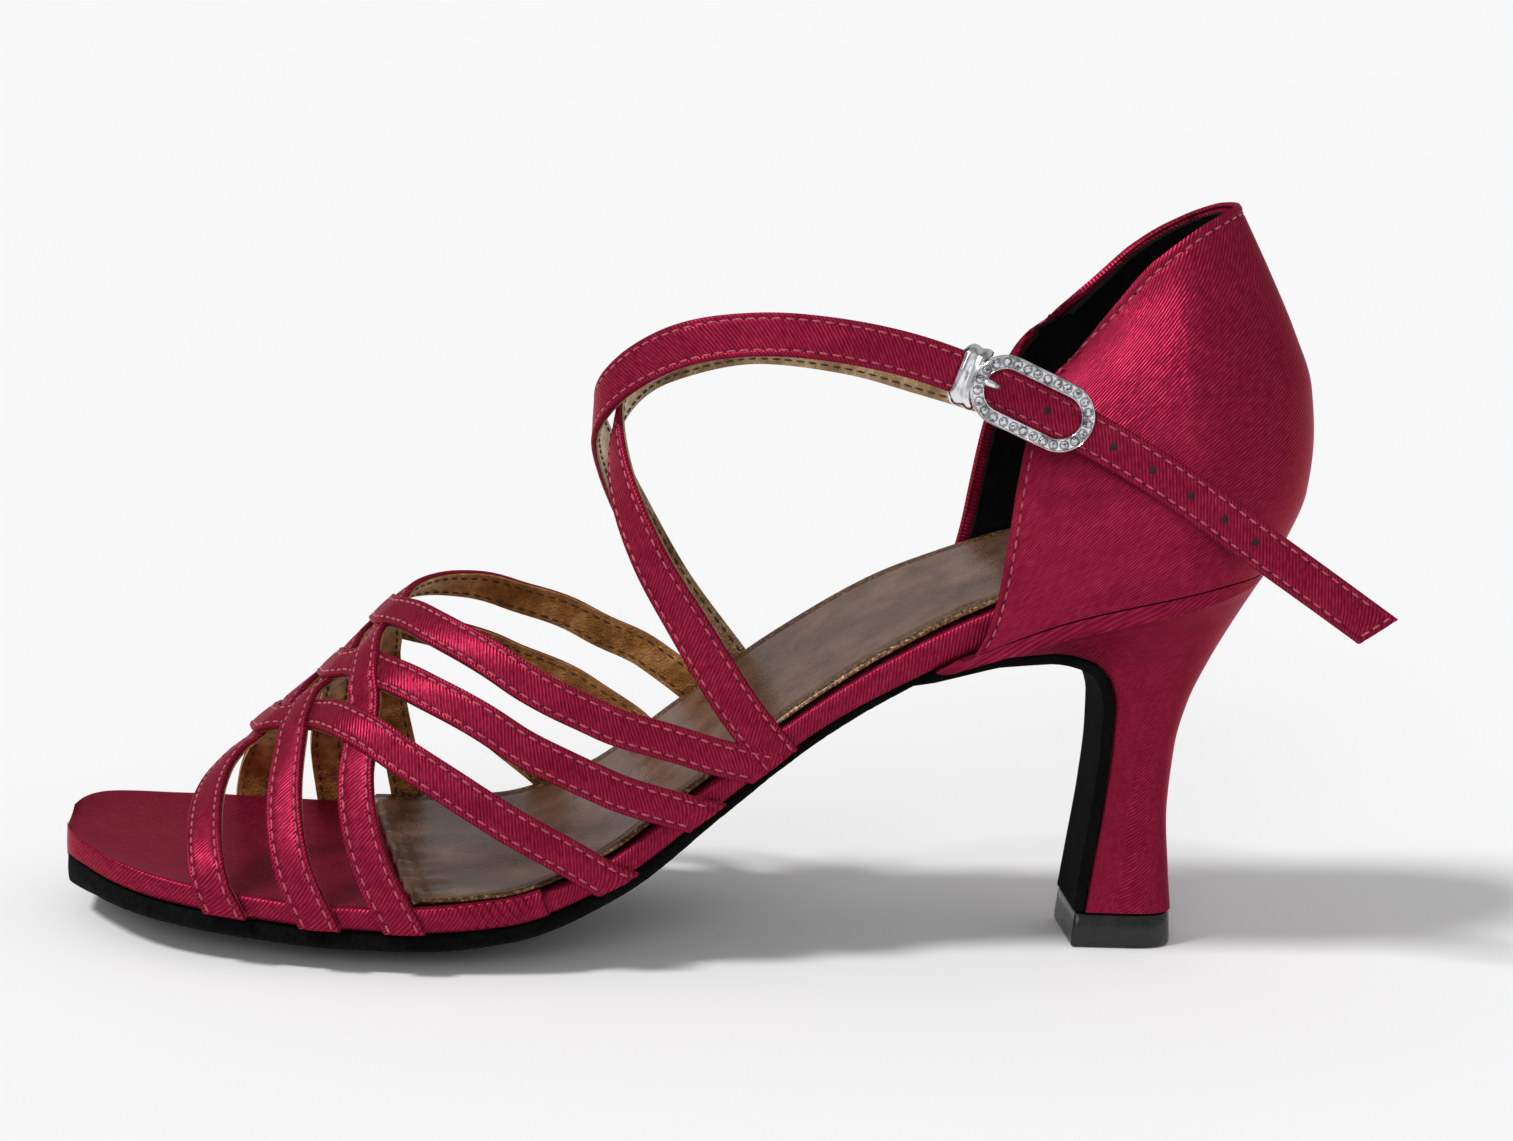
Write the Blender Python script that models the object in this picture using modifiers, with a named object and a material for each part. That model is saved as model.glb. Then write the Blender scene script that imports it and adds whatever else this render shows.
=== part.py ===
# Ballroom dance shoe: a left open-toe sandal with a woven vamp, a closed heel cup and a flared heel.
# Metres, +Z up. The toe points along -X, the outer (lateral) side faces -Y, and the floor is z = 0.
# The origin is the centre of the heel tip's bottom face.

import bpy
import bmesh
import numpy as np
from collections import namedtuple
from math import cos, sin, pi, radians
from mathutils import Matrix

# Driving sizes
SOLE_LENGTH = 0.2214        # platform, toe tip to back, along the floor
HEEL_SET = 0.0199           # platform's back, behind the middle of the heel tip
SEAT_HEIGHT = 0.0810        # top of the platform at its back
BALL_WIDTH = 0.0766         # platform at its widest
TOE_SPRING = 0.0059         # rise of the toe tip over the ball
ARCH_LIFT = 0.0046          # inner edge of the waist over its outer edge
FOOTBED_DISH = 0.0022       # rise of the forefoot's edges over its middle

PLATFORM_THICK = 0.0058
OUTSOLE_THICK = 0.0042
FLAP_THICK = 0.0021         # suede on the waist and on the heel's front
INSOLE_THICK = 0.0015
INSOLE_INSET = 0.0010       # insole's edge, in from the platform's edge
GAP = 0.0003                # between pieces that touch

WALL = 0.0022               # heel cup's wall
WALL_LEAN = 0.0009          # room for the wall's lean at its foot
COLLAR_BACK = 0.0677        # collar's top over the seat, at the back
COLLAR_SIDE = 0.0602        # the same, at the middle of the side
COLLAR_FRONT = 0.0545       # the same, at the front edge
COLLAR_DIP = 0.0008         # fall of the collar's line, halfway between its side and its front

TIP_HEIGHT = 0.0065
TIP_LENGTH = 0.0204
TIP_WIDTH = 0.0193
TIP_FLARE = 0.0004          # tip's bottom, out from its top
HEEL_LIP = 0.0064           # heel's front lip, forward of the heel cup's front edge
HEEL_LIP_WIDTH = 0.0480

FOOT_HEIGHT = 0.0702        # vamp's ridge over the footbed, at its highest
STRAP_WIDTH = 0.0068
STRAP_THICK = 0.0014
STRAP_OVERLAP = 0.0004      # how far two joined straps sink into each other
INSTEP_WIDTH = 0.0080
STRAP_START = 0.0006        # where the vamp's arch starts, over the platform's top edge
RIDGE_SHIFT = 0.0030        # vamp's ridge, towards the inner side

BUCKLE_LENGTH = 0.0240
BUCKLE_WIDTH = 0.0130
BUCKLE_BAND = 0.0026
BUCKLE_THICK = 0.0016
BAR_THICK = 0.0011
PRONG_THICK = 0.0011
PRONG_HOLE = 0.0020
KEEPER_LENGTH = 0.0052
KEEPER_THICK = 0.0010
KEEPER_ROOM = 0.0003        # keeper's play round the strap
TAB_WIDTH = 0.0060
TAB_THICK = 0.0012

# Small layout values
HOLE_SIDES = 10
OVAL_STEPS = 36
WIRE_SIDES = 3
TURN_CLEAR = 0.0001         # room for a strap's turn where it lies on the sole's side
SIDE_CLEAR = GAP + STRAP_THICK / 2 + TURN_CLEAR
STACK = PLATFORM_THICK + GAP + OUTSOLE_THICK
HALF_BALL = BALL_WIDTH / 2
TOE_X = HEEL_SET - SOLE_LENGTH

# Footbed, toe to heel. along: share of the sole's length. spring and rise: shares of the toe
# spring and of the seat's height. lateral and medial: shares of half the ball's width. dish, thin
# and lift: shares of the dish, of the edge's thinning and of the arch lift. under: outsole's share
# of the width.
SoleRow = namedtuple("SoleRow", "along spring rise lateral medial dish thin lift under")
SOLE_ROWS = [
    SoleRow(0.000, 1.00, 0.000, 0.050, 0.270, 0.5, 1.0, 0.0, 0.97),
    SoleRow(0.004, 0.97, 0.000, 0.180, 0.420, 0.5, 1.0, 0.0, 0.97),
    SoleRow(0.011, 0.91, 0.000, 0.280, 0.530, 0.6, 1.0, 0.0, 0.97),
    SoleRow(0.023, 0.80, 0.000, 0.385, 0.640, 0.7, 1.0, 0.0, 0.98),
    SoleRow(0.046, 0.63, 0.000, 0.560, 0.740, 0.8, 1.0, 0.0, 0.98),
    SoleRow(0.079, 0.44, 0.000, 0.720, 0.820, 0.9, 1.0, 0.0, 0.985),
    SoleRow(0.115, 0.29, 0.000, 0.825, 0.885, 1.0, 1.0, 0.0, 0.985),
    SoleRow(0.165, 0.13, 0.000, 0.905, 0.940, 1.0, 1.0, 0.0, 0.985),
    SoleRow(0.232, 0.00, 0.000, 0.975, 0.990, 1.0, 1.0, 0.0, 0.985),
    SoleRow(0.291, 0.00, 0.000, 1.000, 1.000, 1.0, 1.0, 0.0, 0.985),
    SoleRow(0.368, 0.00, 0.027, 0.965, 0.940, 0.8, 1.0, 0.1, 0.98),
    SoleRow(0.445, 0.00, 0.131, 0.865, 0.815, 0.6, 1.0, 0.4, 0.96),
    SoleRow(0.526, 0.00, 0.339, 0.745, 0.705, 0.3, 1.0, 0.8, 0.93),
    SoleRow(0.607, 0.00, 0.546, 0.665, 0.640, 0.2, 1.0, 1.0, 0.88),
    SoleRow(0.689, 0.00, 0.717, 0.616, 0.615, 0.1, 0.3, 1.0, 0.85),
    SoleRow(0.752, 0.00, 0.816, 0.580, 0.580, 0.0, 0.0, 0.8, 0.85),
    SoleRow(0.820, 0.00, 0.894, 0.593, 0.593, 0.0, 0.0, 0.5, 0.85),
    SoleRow(0.897, 0.00, 0.950, 0.600, 0.600, 0.0, 0.0, 0.2, 0.85),
    SoleRow(0.937, 0.00, 0.976, 0.575, 0.575, 0.0, 0.0, 0.1, 0.85),
    SoleRow(0.965, 0.00, 0.989, 0.485, 0.485, 0.0, 0.0, 0.0, 0.85),
    SoleRow(0.987, 0.00, 0.996, 0.330, 0.330, 0.0, 0.0, 0.0, 0.85),
    SoleRow(0.997, 0.00, 0.999, 0.170, 0.170, 0.0, 0.0, 0.0, 0.85),
    SoleRow(1.000, 0.00, 1.000, 0.040, 0.040, 0.0, 0.0, 0.0, 0.85),
]
FLAT_SHARE = 0.35           # middle of the outsole that stays flat across
EDGE_THINNING = 0.27        # platform's edge, thinner than its middle
OUTSOLE_THINNING = 0.22     # outsole's edge, thinner than its middle
EDGE_EASE = 0.25            # rounding of the sole's edges, as a share of their thickness
THINNING_START = 0.33       # where the outsole starts to thin, as a share along
THINNING_END = 0.56
WAIST = 0.688               # where the outsole leaves the platform, as a share along
FRONT_STATIONS = [WAIST * (1 - cos(pi / 2 * i / 16)) for i in range(17)]
REAR_STATIONS = [WAIST + (1 - WAIST) * sin(pi / 2 * i / 9) for i in range(1, 10)]
ACROSS = [-0.96, -0.72, -0.35, 0.0, 0.35, 0.72, 0.96]
INSOLE_FRONT = 0.275        # middle of the insole's front edge, as a share along
INSOLE_SLANT = 0.0205       # how far that edge slants, forward on the inner side

# Heel from its tip (0) to its seat (1). Heights are shares of the way from the tip's top to the
# seat's underside at the back, lengths and half widths are shares of the tip's length and width.
HeelRow = namedtuple("HeelRow", "station front_x front_z rear_x rear_z half front_half round flap")
HEEL_ROWS = [
    HeelRow(0.00, -0.382, 0.000, 0.490, 0.000, 0.495, 0.490, 3.2, 0.470),
    HeelRow(0.12, -0.335, 0.134, 0.437, 0.127, 0.485, 0.475, 3.0, 0.460),
    HeelRow(0.25, -0.268, 0.325, 0.387, 0.295, 0.485, 0.470, 2.7, 0.455),
    HeelRow(0.37, -0.238, 0.478, 0.417, 0.470, 0.510, 0.485, 2.5, 0.465),
    HeelRow(0.47, -0.240, 0.580, 0.510, 0.602, 0.575, 0.530, 2.4, 0.500),
    HeelRow(0.57, -0.310, 0.661, 0.672, 0.723, 0.705, 0.610, 2.3, 0.570),
    HeelRow(0.67, -0.500, 0.727, 0.843, 0.829, 0.880, 0.740, 2.2, 0.690),
    HeelRow(0.79, -0.930, 0.766, 1.000, 0.918, 1.090, 0.960, 2.1, 0.880),
    HeelRow(0.90, -1.480, 0.771, 1.090, 0.965, 1.250, 1.130, 2.0, 1.010),
]
HEEL_STATIONS = 16
LIP_HEIGHT = 0.0008         # thickness of the lip's front edge
HEEL_WAIST = 0.57           # station above which the heel's section grows to the cup's
HEEL_MIDDLE = 0.35          # widest place of the heel's lower sections, as a share from the front
TIP_MIDDLE = 0.45           # the same for the tip
TIP_EDGE = 0.9              # height at which the tip's top edge starts, as a share
REAR_STEPS = 8              # steps round the rear of a heel section
FRONT_SPOTS = (0.7, 0.4, 0.12)
FRONT_CORNER = 0.95         # front corners of a heel section, as a share of its front half width
FACING = (-1.0, -0.6)       # the way the suede on the heel's front faces, in X and Z

# Heel cup rows, seat to collar. up: shares of the collar's rise. The rest are shares of the seat's
# width: back and front are x, side and front_y are half widths, side_x is where the side is widest.
CupRow = namedtuple("CupRow", "up_back up_side up_front back side_x side front front_y")
CUP_ROWS = [
    CupRow(0.000, 0.000, 0.000, 0.446, 0.000, 0.500, -0.674, 0.479),
    CupRow(0.093, 0.103, 0.086, 0.513, 0.010, 0.514, -0.632, 0.481),
    CupRow(0.219, 0.244, 0.224, 0.569, 0.029, 0.516, -0.600, 0.474),
    CupRow(0.344, 0.394, 0.397, 0.580, 0.038, 0.497, -0.577, 0.457),
    CupRow(0.507, 0.560, 0.586, 0.557, 0.040, 0.451, -0.552, 0.420),
    CupRow(0.654, 0.743, 0.784, 0.483, 0.024, 0.373, -0.510, 0.369),
    CupRow(0.817, 0.900, 0.928, 0.377, -0.015, 0.287, -0.445, 0.310),
    CupRow(1.000, 1.000, 1.000, 0.247, -0.096, 0.220, -0.357, 0.276),
]
SIDE_FULLNESS = 1.3         # how soon a collar or seat line reaches its side height from the back
FRONT_BEND = 1.6            # how late the cup's side draws in towards its front edge
CUP_COLUMNS = 12            # on each side of the back
CUP_LEVELS = 11

# Vamp's ridge over the footbed. height: share of the foot's height.
RidgeRow = namedtuple("RidgeRow", "along height")
RIDGE_ROWS = [
    RidgeRow(0.075, 0.130), RidgeRow(0.122, 0.232), RidgeRow(0.160, 0.343), RidgeRow(0.196, 0.450),
    RidgeRow(0.233, 0.571), RidgeRow(0.264, 0.686), RidgeRow(0.309, 0.794), RidgeRow(0.368, 0.895),
    RidgeRow(0.436, 0.968), RidgeRow(0.504, 0.970), RidgeRow(0.571, 0.900),
]
ARCH_SQUARE = 2.4           # fullness of the arch's sides
SKIRT = 0.025               # arch's drop for one unit of around past 1
AROUND_WEIGHT = 0.25        # share along that counts as much as one unit of around
SAMPLE_STEP = 0.004         # share along and around between samples for a slope

# Vamp straps. around: 0 on the ridge, 1 at the platform's edge, more down its side. Each strap runs
# from a front base over the ridge to a rear base on the other side.
StrapRow = namedtuple("StrapRow", "along around")
OUTER_FRONT_ROWS = [
    [StrapRow(0.1440, 1.22), StrapRow(0.1284, 0.839), StrapRow(0.1207, 0.450), StrapRow(0.1228, 0.212),
     StrapRow(0.1360, 0.080), StrapRow(0.1600, 0.00)],
    [StrapRow(0.2190, 1.22), StrapRow(0.2003, 0.890), StrapRow(0.1853, 0.609), StrapRow(0.1876, 0.353),
     StrapRow(0.1925, 0.220), StrapRow(0.2030, 0.080), StrapRow(0.2193, 0.00)],
    [StrapRow(0.2857, 1.22), StrapRow(0.2639, 0.919), StrapRow(0.2479, 0.707), StrapRow(0.2453, 0.552),
     StrapRow(0.2470, 0.360), StrapRow(0.2510, 0.170), StrapRow(0.2630, 0.00)],
]
INNER_REAR_ROWS = [
    [StrapRow(0.1900, 0.130), StrapRow(0.2174, 0.420), StrapRow(0.2390, 0.530), StrapRow(0.2928, 0.699),
     StrapRow(0.3527, 0.840), StrapRow(0.3993, 0.956), StrapRow(0.4163, 1.055), StrapRow(0.4280, 1.20)],
    [StrapRow(0.2361, 0.150), StrapRow(0.2561, 0.350), StrapRow(0.3090, 0.537), StrapRow(0.3635, 0.668),
     StrapRow(0.4366, 0.835), StrapRow(0.4846, 0.988), StrapRow(0.4990, 1.20)],
    [StrapRow(0.2749, 0.150), StrapRow(0.2945, 0.284), StrapRow(0.3611, 0.499), StrapRow(0.4335, 0.679),
     StrapRow(0.5017, 0.862), StrapRow(0.5295, 0.962), StrapRow(0.5440, 1.18)],
]
INNER_FRONT_ROWS = [
    [StrapRow(0.1471, 1.22), StrapRow(0.1460, 1.050), StrapRow(0.1490, 0.850), StrapRow(0.1560, 0.664),
     StrapRow(0.1615, 0.480), StrapRow(0.1635, 0.220), StrapRow(0.1660, 0.00)],
    [StrapRow(0.2221, 1.22), StrapRow(0.2172, 0.987), StrapRow(0.2110, 0.795), StrapRow(0.2125, 0.665),
     StrapRow(0.2164, 0.515), StrapRow(0.2190, 0.250), StrapRow(0.2207, 0.00)],
    [StrapRow(0.2925, 1.22), StrapRow(0.2862, 1.017), StrapRow(0.2755, 0.860), StrapRow(0.2680, 0.753),
     StrapRow(0.2621, 0.632), StrapRow(0.2596, 0.443), StrapRow(0.2605, 0.200), StrapRow(0.2635, 0.00)],
]
OUTER_REAR_ROWS = [
    [StrapRow(0.1840, 0.090), StrapRow(0.2104, 0.262), StrapRow(0.2384, 0.438), StrapRow(0.2970, 0.689),
     StrapRow(0.3629, 0.838), StrapRow(0.4295, 0.977), StrapRow(0.4567, 1.186)],
    [StrapRow(0.2389, 0.137), StrapRow(0.2617, 0.326), StrapRow(0.2944, 0.469), StrapRow(0.3603, 0.657),
     StrapRow(0.4264, 0.810), StrapRow(0.4937, 0.966), StrapRow(0.5110, 1.060), StrapRow(0.5236, 1.190)],
    [StrapRow(0.2765, 0.110), StrapRow(0.2920, 0.215), StrapRow(0.3421, 0.448), StrapRow(0.3916, 0.600),
     StrapRow(0.4579, 0.770), StrapRow(0.5220, 0.940), StrapRow(0.5500, 1.060), StrapRow(0.5600, 1.150)],
]
VAMP_STATIONS = 27
CROSS_FLAT = 0.0045         # half length of a crossing that stays raised
CROSS_RAMP = 0.0055         # length over which a raised strap comes down again
SIDE_RAMP_START = 0.75      # around from which no strap is lowered any more
SIDE_RAMP_END = 0.95

# Instep straps, as routes from the outer waist (under) and from the inner waist (over). along:
# share of the sole's length from the toe, out: share of half the ball's width (outer side is
# negative) without the strap's own clearance, up: share of the seat's height.
RouteRow = namedtuple("RouteRow", "along out up")
UNDER_ROWS = [
    RouteRow(0.6020, -0.710, 0.455), RouteRow(0.5880, -0.716, 0.500), RouteRow(0.5565, -0.720, 0.602),
    RouteRow(0.5131, -0.679, 0.778), RouteRow(0.4788, -0.548, 0.922), RouteRow(0.4535, -0.352, 1.062),
    RouteRow(0.4404, -0.144, 1.167), RouteRow(0.4413, 0.039, 1.237), RouteRow(0.4607, 0.248, 1.294),
    RouteRow(0.4946, 0.431, 1.323), RouteRow(0.5714, 0.614, 1.354), RouteRow(0.6617, 0.640, 1.336),
    RouteRow(0.7204, 0.614, 1.300), RouteRow(0.7778, 0.548, 1.263),
]
OVER_ROWS = [
    RouteRow(0.5827, 0.690, 0.519), RouteRow(0.5610, 0.700, 0.590), RouteRow(0.5140, 0.690, 0.753),
    RouteRow(0.4765, 0.590, 0.926), RouteRow(0.4494, 0.380, 1.074), RouteRow(0.4350, 0.091, 1.185),
    RouteRow(0.4385, -0.131, 1.262), RouteRow(0.4570, -0.275, 1.330), RouteRow(0.4840, -0.402, 1.386),
    RouteRow(0.5160, -0.520, 1.424), RouteRow(0.5650, -0.610, 1.446), RouteRow(0.6139, -0.656, 1.444),
    RouteRow(0.6730, -0.655, 1.420), RouteRow(0.7240, -0.650, 1.381), RouteRow(0.7830, -0.668, 1.320),
    RouteRow(0.8480, -0.707, 1.238), RouteRow(0.9142, -0.745, 1.138), RouteRow(0.9711, -0.760, 1.037),
    RouteRow(1.0276, -0.765, 0.938), RouteRow(1.0845, -0.770, 0.837),
]
UNDER_STATIONS = 36
OVER_STATIONS = 54
SIDE_START = 0.30           # out from which a strap keeps its whole clearance from the sole's side
LEG_AXIS = 0.58             # the leg's axis, as a share along, which the instep straps face away from
LEG_DEPTH = 0.1             # pull of the axis behind it, against that in front of it
LEG_BREADTH = 1.6           # pull of the sides, against that of the front
BUCKLE_AT = 0.7825          # buckle's middle, as a share along
KEEPER_AT = 0.7270          # keeper's middle, as a share along
HOLE_BACK = 0.0062          # prong's hole, forward of the buckle's middle
FRAME_CROWN = 0.6           # height at which the buckle's band starts to round over, as a share
BAR_CORNER = 0.3            # cut of the bar's bent corners, as a share of its thickness
PRONG_REST = 0.45           # where the prong's tip lies on the front band, as a share of the band
HOLE_EASE = 0.35            # hole's radius past the prong's, as a share of the prong's thickness
TAB_LENGTH = 0.0100
TAB_RISE = 0.0004           # tab's lift over the counter's outside
TAB_STEPS = 6


def smooth_curve(xs, ys):
    """A curve through the given points that never overshoots them."""
    xs, ys = np.array(xs, float), np.array(ys, float)
    step = np.diff(xs)
    slope = np.diff(ys) / step
    tangent = np.concatenate([slope[:1], np.zeros(len(xs) - 2), slope[-1:]])
    for i in range(1, len(xs) - 1):
        if slope[i - 1] * slope[i] > 0:
            a, b = 2 * step[i] + step[i - 1], step[i] + 2 * step[i - 1]
            tangent[i] = (a + b) / (a / slope[i - 1] + b / slope[i])

    def at(x):
        x = min(max(x, xs[0]), xs[-1])
        i = min(int(np.searchsorted(xs, x, side="right")) - 1, len(step) - 1)
        s = (x - xs[i]) / step[i]
        start = (1 + 2 * s) * (1 - s) ** 2 * ys[i] + s * (1 - s) ** 2 * step[i] * tangent[i]
        end = s * s * (3 - 2 * s) * ys[i + 1] - s * s * (1 - s) * step[i] * tangent[i + 1]
        return start + end

    return at


def columns(rows):
    """One smooth curve over the first column for each other column of a table."""
    key = [row[0] for row in rows]
    return {name: smooth_curve(key, [getattr(row, name) for row in rows]) for name in rows[0]._fields[1:]}


def route(points, count):
    """Evenly spaced points on a smooth curve through the given points."""
    points = np.array(points, float)
    knots = np.concatenate([[0], np.cumsum(np.sqrt(np.linalg.norm(np.diff(points, axis=0), axis=1)))])
    ends = [2 * points[0] - points[1]], [2 * points[-1] - points[-2]]
    full = np.concatenate([ends[0], points, ends[1]])
    times = np.concatenate([[2 * knots[0] - knots[1]], knots, [2 * knots[-1] - knots[-2]]])
    dense = []
    for i in range(1, len(full) - 2):
        t0, t1, t2, t3 = times[i - 1:i + 3]
        p0, p1, p2, p3 = full[i - 1:i + 3]
        for t in np.linspace(t1, t2, 24, endpoint=False):
            a1 = (t1 - t) / (t1 - t0) * p0 + (t - t0) / (t1 - t0) * p1
            a2 = (t2 - t) / (t2 - t1) * p1 + (t - t1) / (t2 - t1) * p2
            a3 = (t3 - t) / (t3 - t2) * p2 + (t - t2) / (t3 - t2) * p3
            b1 = (t2 - t) / (t2 - t0) * a1 + (t - t0) / (t2 - t0) * a2
            b2 = (t3 - t) / (t3 - t1) * a2 + (t - t1) / (t3 - t1) * a3
            dense.append((t2 - t) / (t2 - t1) * b1 + (t - t1) / (t2 - t1) * b2)
    dense = np.array(dense + [points[-1]])
    run = np.concatenate([[0], np.cumsum(np.linalg.norm(np.diff(dense, axis=0), axis=1))])
    wanted = np.linspace(0, run[-1], count)
    return np.stack([np.interp(wanted, run, dense[:, k]) for k in range(dense.shape[1])], 1)


def unit(v):
    return v / np.linalg.norm(v)


SOLE = columns(SOLE_ROWS)
RIDGE = columns(RIDGE_ROWS)
HEEL = columns(HEEL_ROWS)


def edge_share(v):
    """0 over the flat middle of the sole, 1 at its edge."""
    return max(0.0, (abs(v) - FLAT_SHARE) / (1 - FLAT_SHARE)) ** 2


def bed_height(along):
    return STACK + SOLE["spring"](along) * TOE_SPRING + SOLE["rise"](along) * (SEAT_HEIGHT - STACK)


def bed_slope(along):
    low, high = max(0.0, along - SAMPLE_STEP / 2), min(1.0, along + SAMPLE_STEP / 2)
    return (bed_height(high) - bed_height(low)) / ((high - low) * SOLE_LENGTH)


def half_width(along, v):
    return HALF_BALL * SOLE["lateral" if v < 0 else "medial"](along)


def bed_point(along, v, depth):
    """A point under the footbed's surface: v runs from -1 (outer edge) to 1 (inner edge)."""
    side = half_width(along, v)
    rise = SOLE["lift"](along) * ARCH_LIFT * v / 2 + SOLE["dish"](along) * FOOTBED_DISH * edge_share(v)
    down = unit(np.array([max(0.0, bed_slope(along)), 0.0, -1.0]))
    return np.array([TOE_X + along * SOLE_LENGTH, v * side, bed_height(along) + rise]) + down * depth


def platform_depth(along, v):
    return PLATFORM_THICK * (1 - EDGE_THINNING * SOLE["thin"](along) * edge_share(v))


SEAT_SAMPLES = [(along, bed_point(along, 0.0, PLATFORM_THICK)) for along in np.linspace(0.45, 1.0, 120)]


def seat_height(x, y):
    """Height of the platform's underside above a place in plan, from the waist to the back."""
    along = np.interp(x, [p[0] for _, p in SEAT_SAMPLES], [a for a, _ in SEAT_SAMPLES])
    middle = np.interp(x, [p[0] for _, p in SEAT_SAMPLES], [p[2] for _, p in SEAT_SAMPLES])
    v = min(max(y / half_width(along, y), -1.0), 1.0)
    return middle + SOLE["lift"](along) * ARCH_LIFT * v / 2


CUP_HALF = half_width(0.897, 1.0) + WALL + GAP + WALL_LEAN
CUP_BACK = HEEL_SET + WALL + GAP + WALL_LEAN
SEAT_WIDTH = 2 * CUP_HALF
SEAT_BACK_HEIGHT = seat_height(HEEL_SET, 0.0)


def new_object(name, mesh, collection):
    item = bpy.data.objects.new(name, mesh)
    collection.objects.link(item)
    return item


def mesh_from_bmesh(name, bm):
    bmesh.ops.recalc_face_normals(bm, faces=bm.faces)
    mesh = bpy.data.meshes.new(name)
    bm.to_mesh(mesh)
    bm.free()
    mesh.shade_smooth()
    mesh.set_sharp_from_angle(angle=radians(40))
    return mesh


def loft(name, loops, closed=False):
    """A solid through loops of equal length. Its ends are capped unless it closes on itself."""
    bm = bmesh.new()
    rings = [[bm.verts.new(point) for point in loop] for loop in loops]
    pairs = list(zip(rings, rings[1:] + (rings[:1] if closed else [])))
    for one, two in pairs[:len(rings) if closed else len(rings) - 1]:
        for i in range(len(one)):
            j = (i + 1) % len(one)
            bm.faces.new((one[i], one[j], two[j], two[i]))
    if not closed:
        for ring in (rings[0], rings[-1]):
            half = len(ring) // 2
            strip = [(ring[i], ring[-1 - i]) for i in range(half)]
            for (a, b), (c, d) in zip(strip, strip[1:]):
                bm.faces.new((a, c, d, b))
    return mesh_from_bmesh(name, bm)


def sole_loop(along, depth_top, depth_bottom, scale=1.0):
    """A section of the sole: its top from the outer to the inner edge, and its bottom back again."""
    top, bottom = [], []
    for v in [-1.0] + ACROSS + [1.0]:
        high, low = depth_top(along, v * scale), depth_bottom(along, v * scale)
        if abs(v) == 1.0:
            ease = (low - high) * EDGE_EASE
            high, low = high + ease, low - ease
        top.append(bed_point(along, v * scale, high))
        bottom.append(bed_point(along, v * scale, low))
    return top + bottom[::-1]


def make_platform(collection):
    loops = [sole_loop(along, lambda a, v: 0.0, platform_depth) for along in FRONT_STATIONS + REAR_STATIONS]
    return new_object("platform", loft("platform", loops), collection)


def make_insole(collection):
    """The sock lies on the platform, from a slanting front edge on the ball to the heel."""
    shared = [a for a in FRONT_STATIONS + REAR_STATIONS if a > INSOLE_FRONT + 2 * INSOLE_SLANT]
    shared[-1] = 1.0 - INSOLE_INSET / SOLE_LENGTH
    loops = []
    for index in range(-2, len(shared)):
        top, bottom = [], []
        for v in [-1.0] + ACROSS[1:-1] + [1.0]:
            start = INSOLE_FRONT - INSOLE_SLANT * v
            along = shared[index] if index >= 0 else start + (shared[0] - start) * (index + 2) / 2
            side = half_width(along, v)
            inside = v * (1 - min(INSOLE_INSET, side * 0.5) / side)
            top.append(bed_point(along, inside, -GAP - INSOLE_THICK))
            bottom.append(bed_point(along, inside, -GAP))
        loops.append(top + bottom[::-1])
    return new_object("insole", loft("insole", loops), collection)


def heel_height(share):
    """A height on the heel, from the top of its tip (0) to the seat's underside at the back (1)."""
    base = TIP_HEIGHT + GAP
    return base + share * (SEAT_BACK_HEIGHT - base)


def heel_front(station):
    """A point on the heel's front line, from the tip (0) to the lip under the waist (1)."""
    last = HEEL_ROWS[-1]
    lip_x = -(CUP_HALF * 2 * abs(CUP_ROWS[0].front) + HEEL_LIP)
    lip_z = seat_height(lip_x, 0.0) - GAP - LIP_HEIGHT
    low = np.array([HEEL["front_x"](station) * TIP_LENGTH, heel_height(HEEL["front_z"](station))])
    if station <= last.station:
        return low
    share = (station - last.station) / (1 - last.station)
    return low + (np.array([lip_x, lip_z]) - low) * share


def lip_twist(x, y):
    """The waist's tilt across, carried on by the heel's lip and the suede under it."""
    lip_x, flat_x = heel_front(1.0)[0], HEEL_ROWS[-2].front_x * TIP_LENGTH
    share = min(1.0, max(0.0, (flat_x - x) / (flat_x - lip_x)))
    return (seat_height(lip_x, y) - seat_height(lip_x, 0.0)) * share


def heel_rear(station):
    last = HEEL_ROWS[-1]
    low = np.array([HEEL["rear_x"](station) * TIP_LENGTH, heel_height(HEEL["rear_z"](station))])
    if station <= last.station:
        return low
    share = (station - last.station) / (1 - last.station)
    return low + (np.array([CUP_BACK, SEAT_BACK_HEIGHT - GAP]) - low) * share


def d_outline(front_half, half, middle, power):
    """Half of a D in plan, back to front: (share from the front, half width)."""
    spots = []
    for i in range(REAR_STEPS + 1):
        angle = pi / 2 * i / REAR_STEPS
        spots.append((middle + (1 - middle) * cos(angle) ** (2 / power), half * sin(angle) ** (2 / power)))
    for share in FRONT_SPOTS:
        spots.append((middle * share, half + (front_half - half) * (1 - share) ** 2))
    spots.append((0.0, front_half * FRONT_CORNER))
    spots.append((0.0, front_half / 2))
    return spots


def both_sides(half_loop):
    """A closed loop from its outer half: the inner half is mirrored."""
    outer = [(x, -y, z) for x, y, z in half_loop]
    inner = [(x, y, z) for x, y, z in half_loop[1:]]
    return outer[::-1] + inner


def heel_stations():
    return [i / HEEL_STATIONS for i in range(HEEL_STATIONS + 1)]


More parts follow.
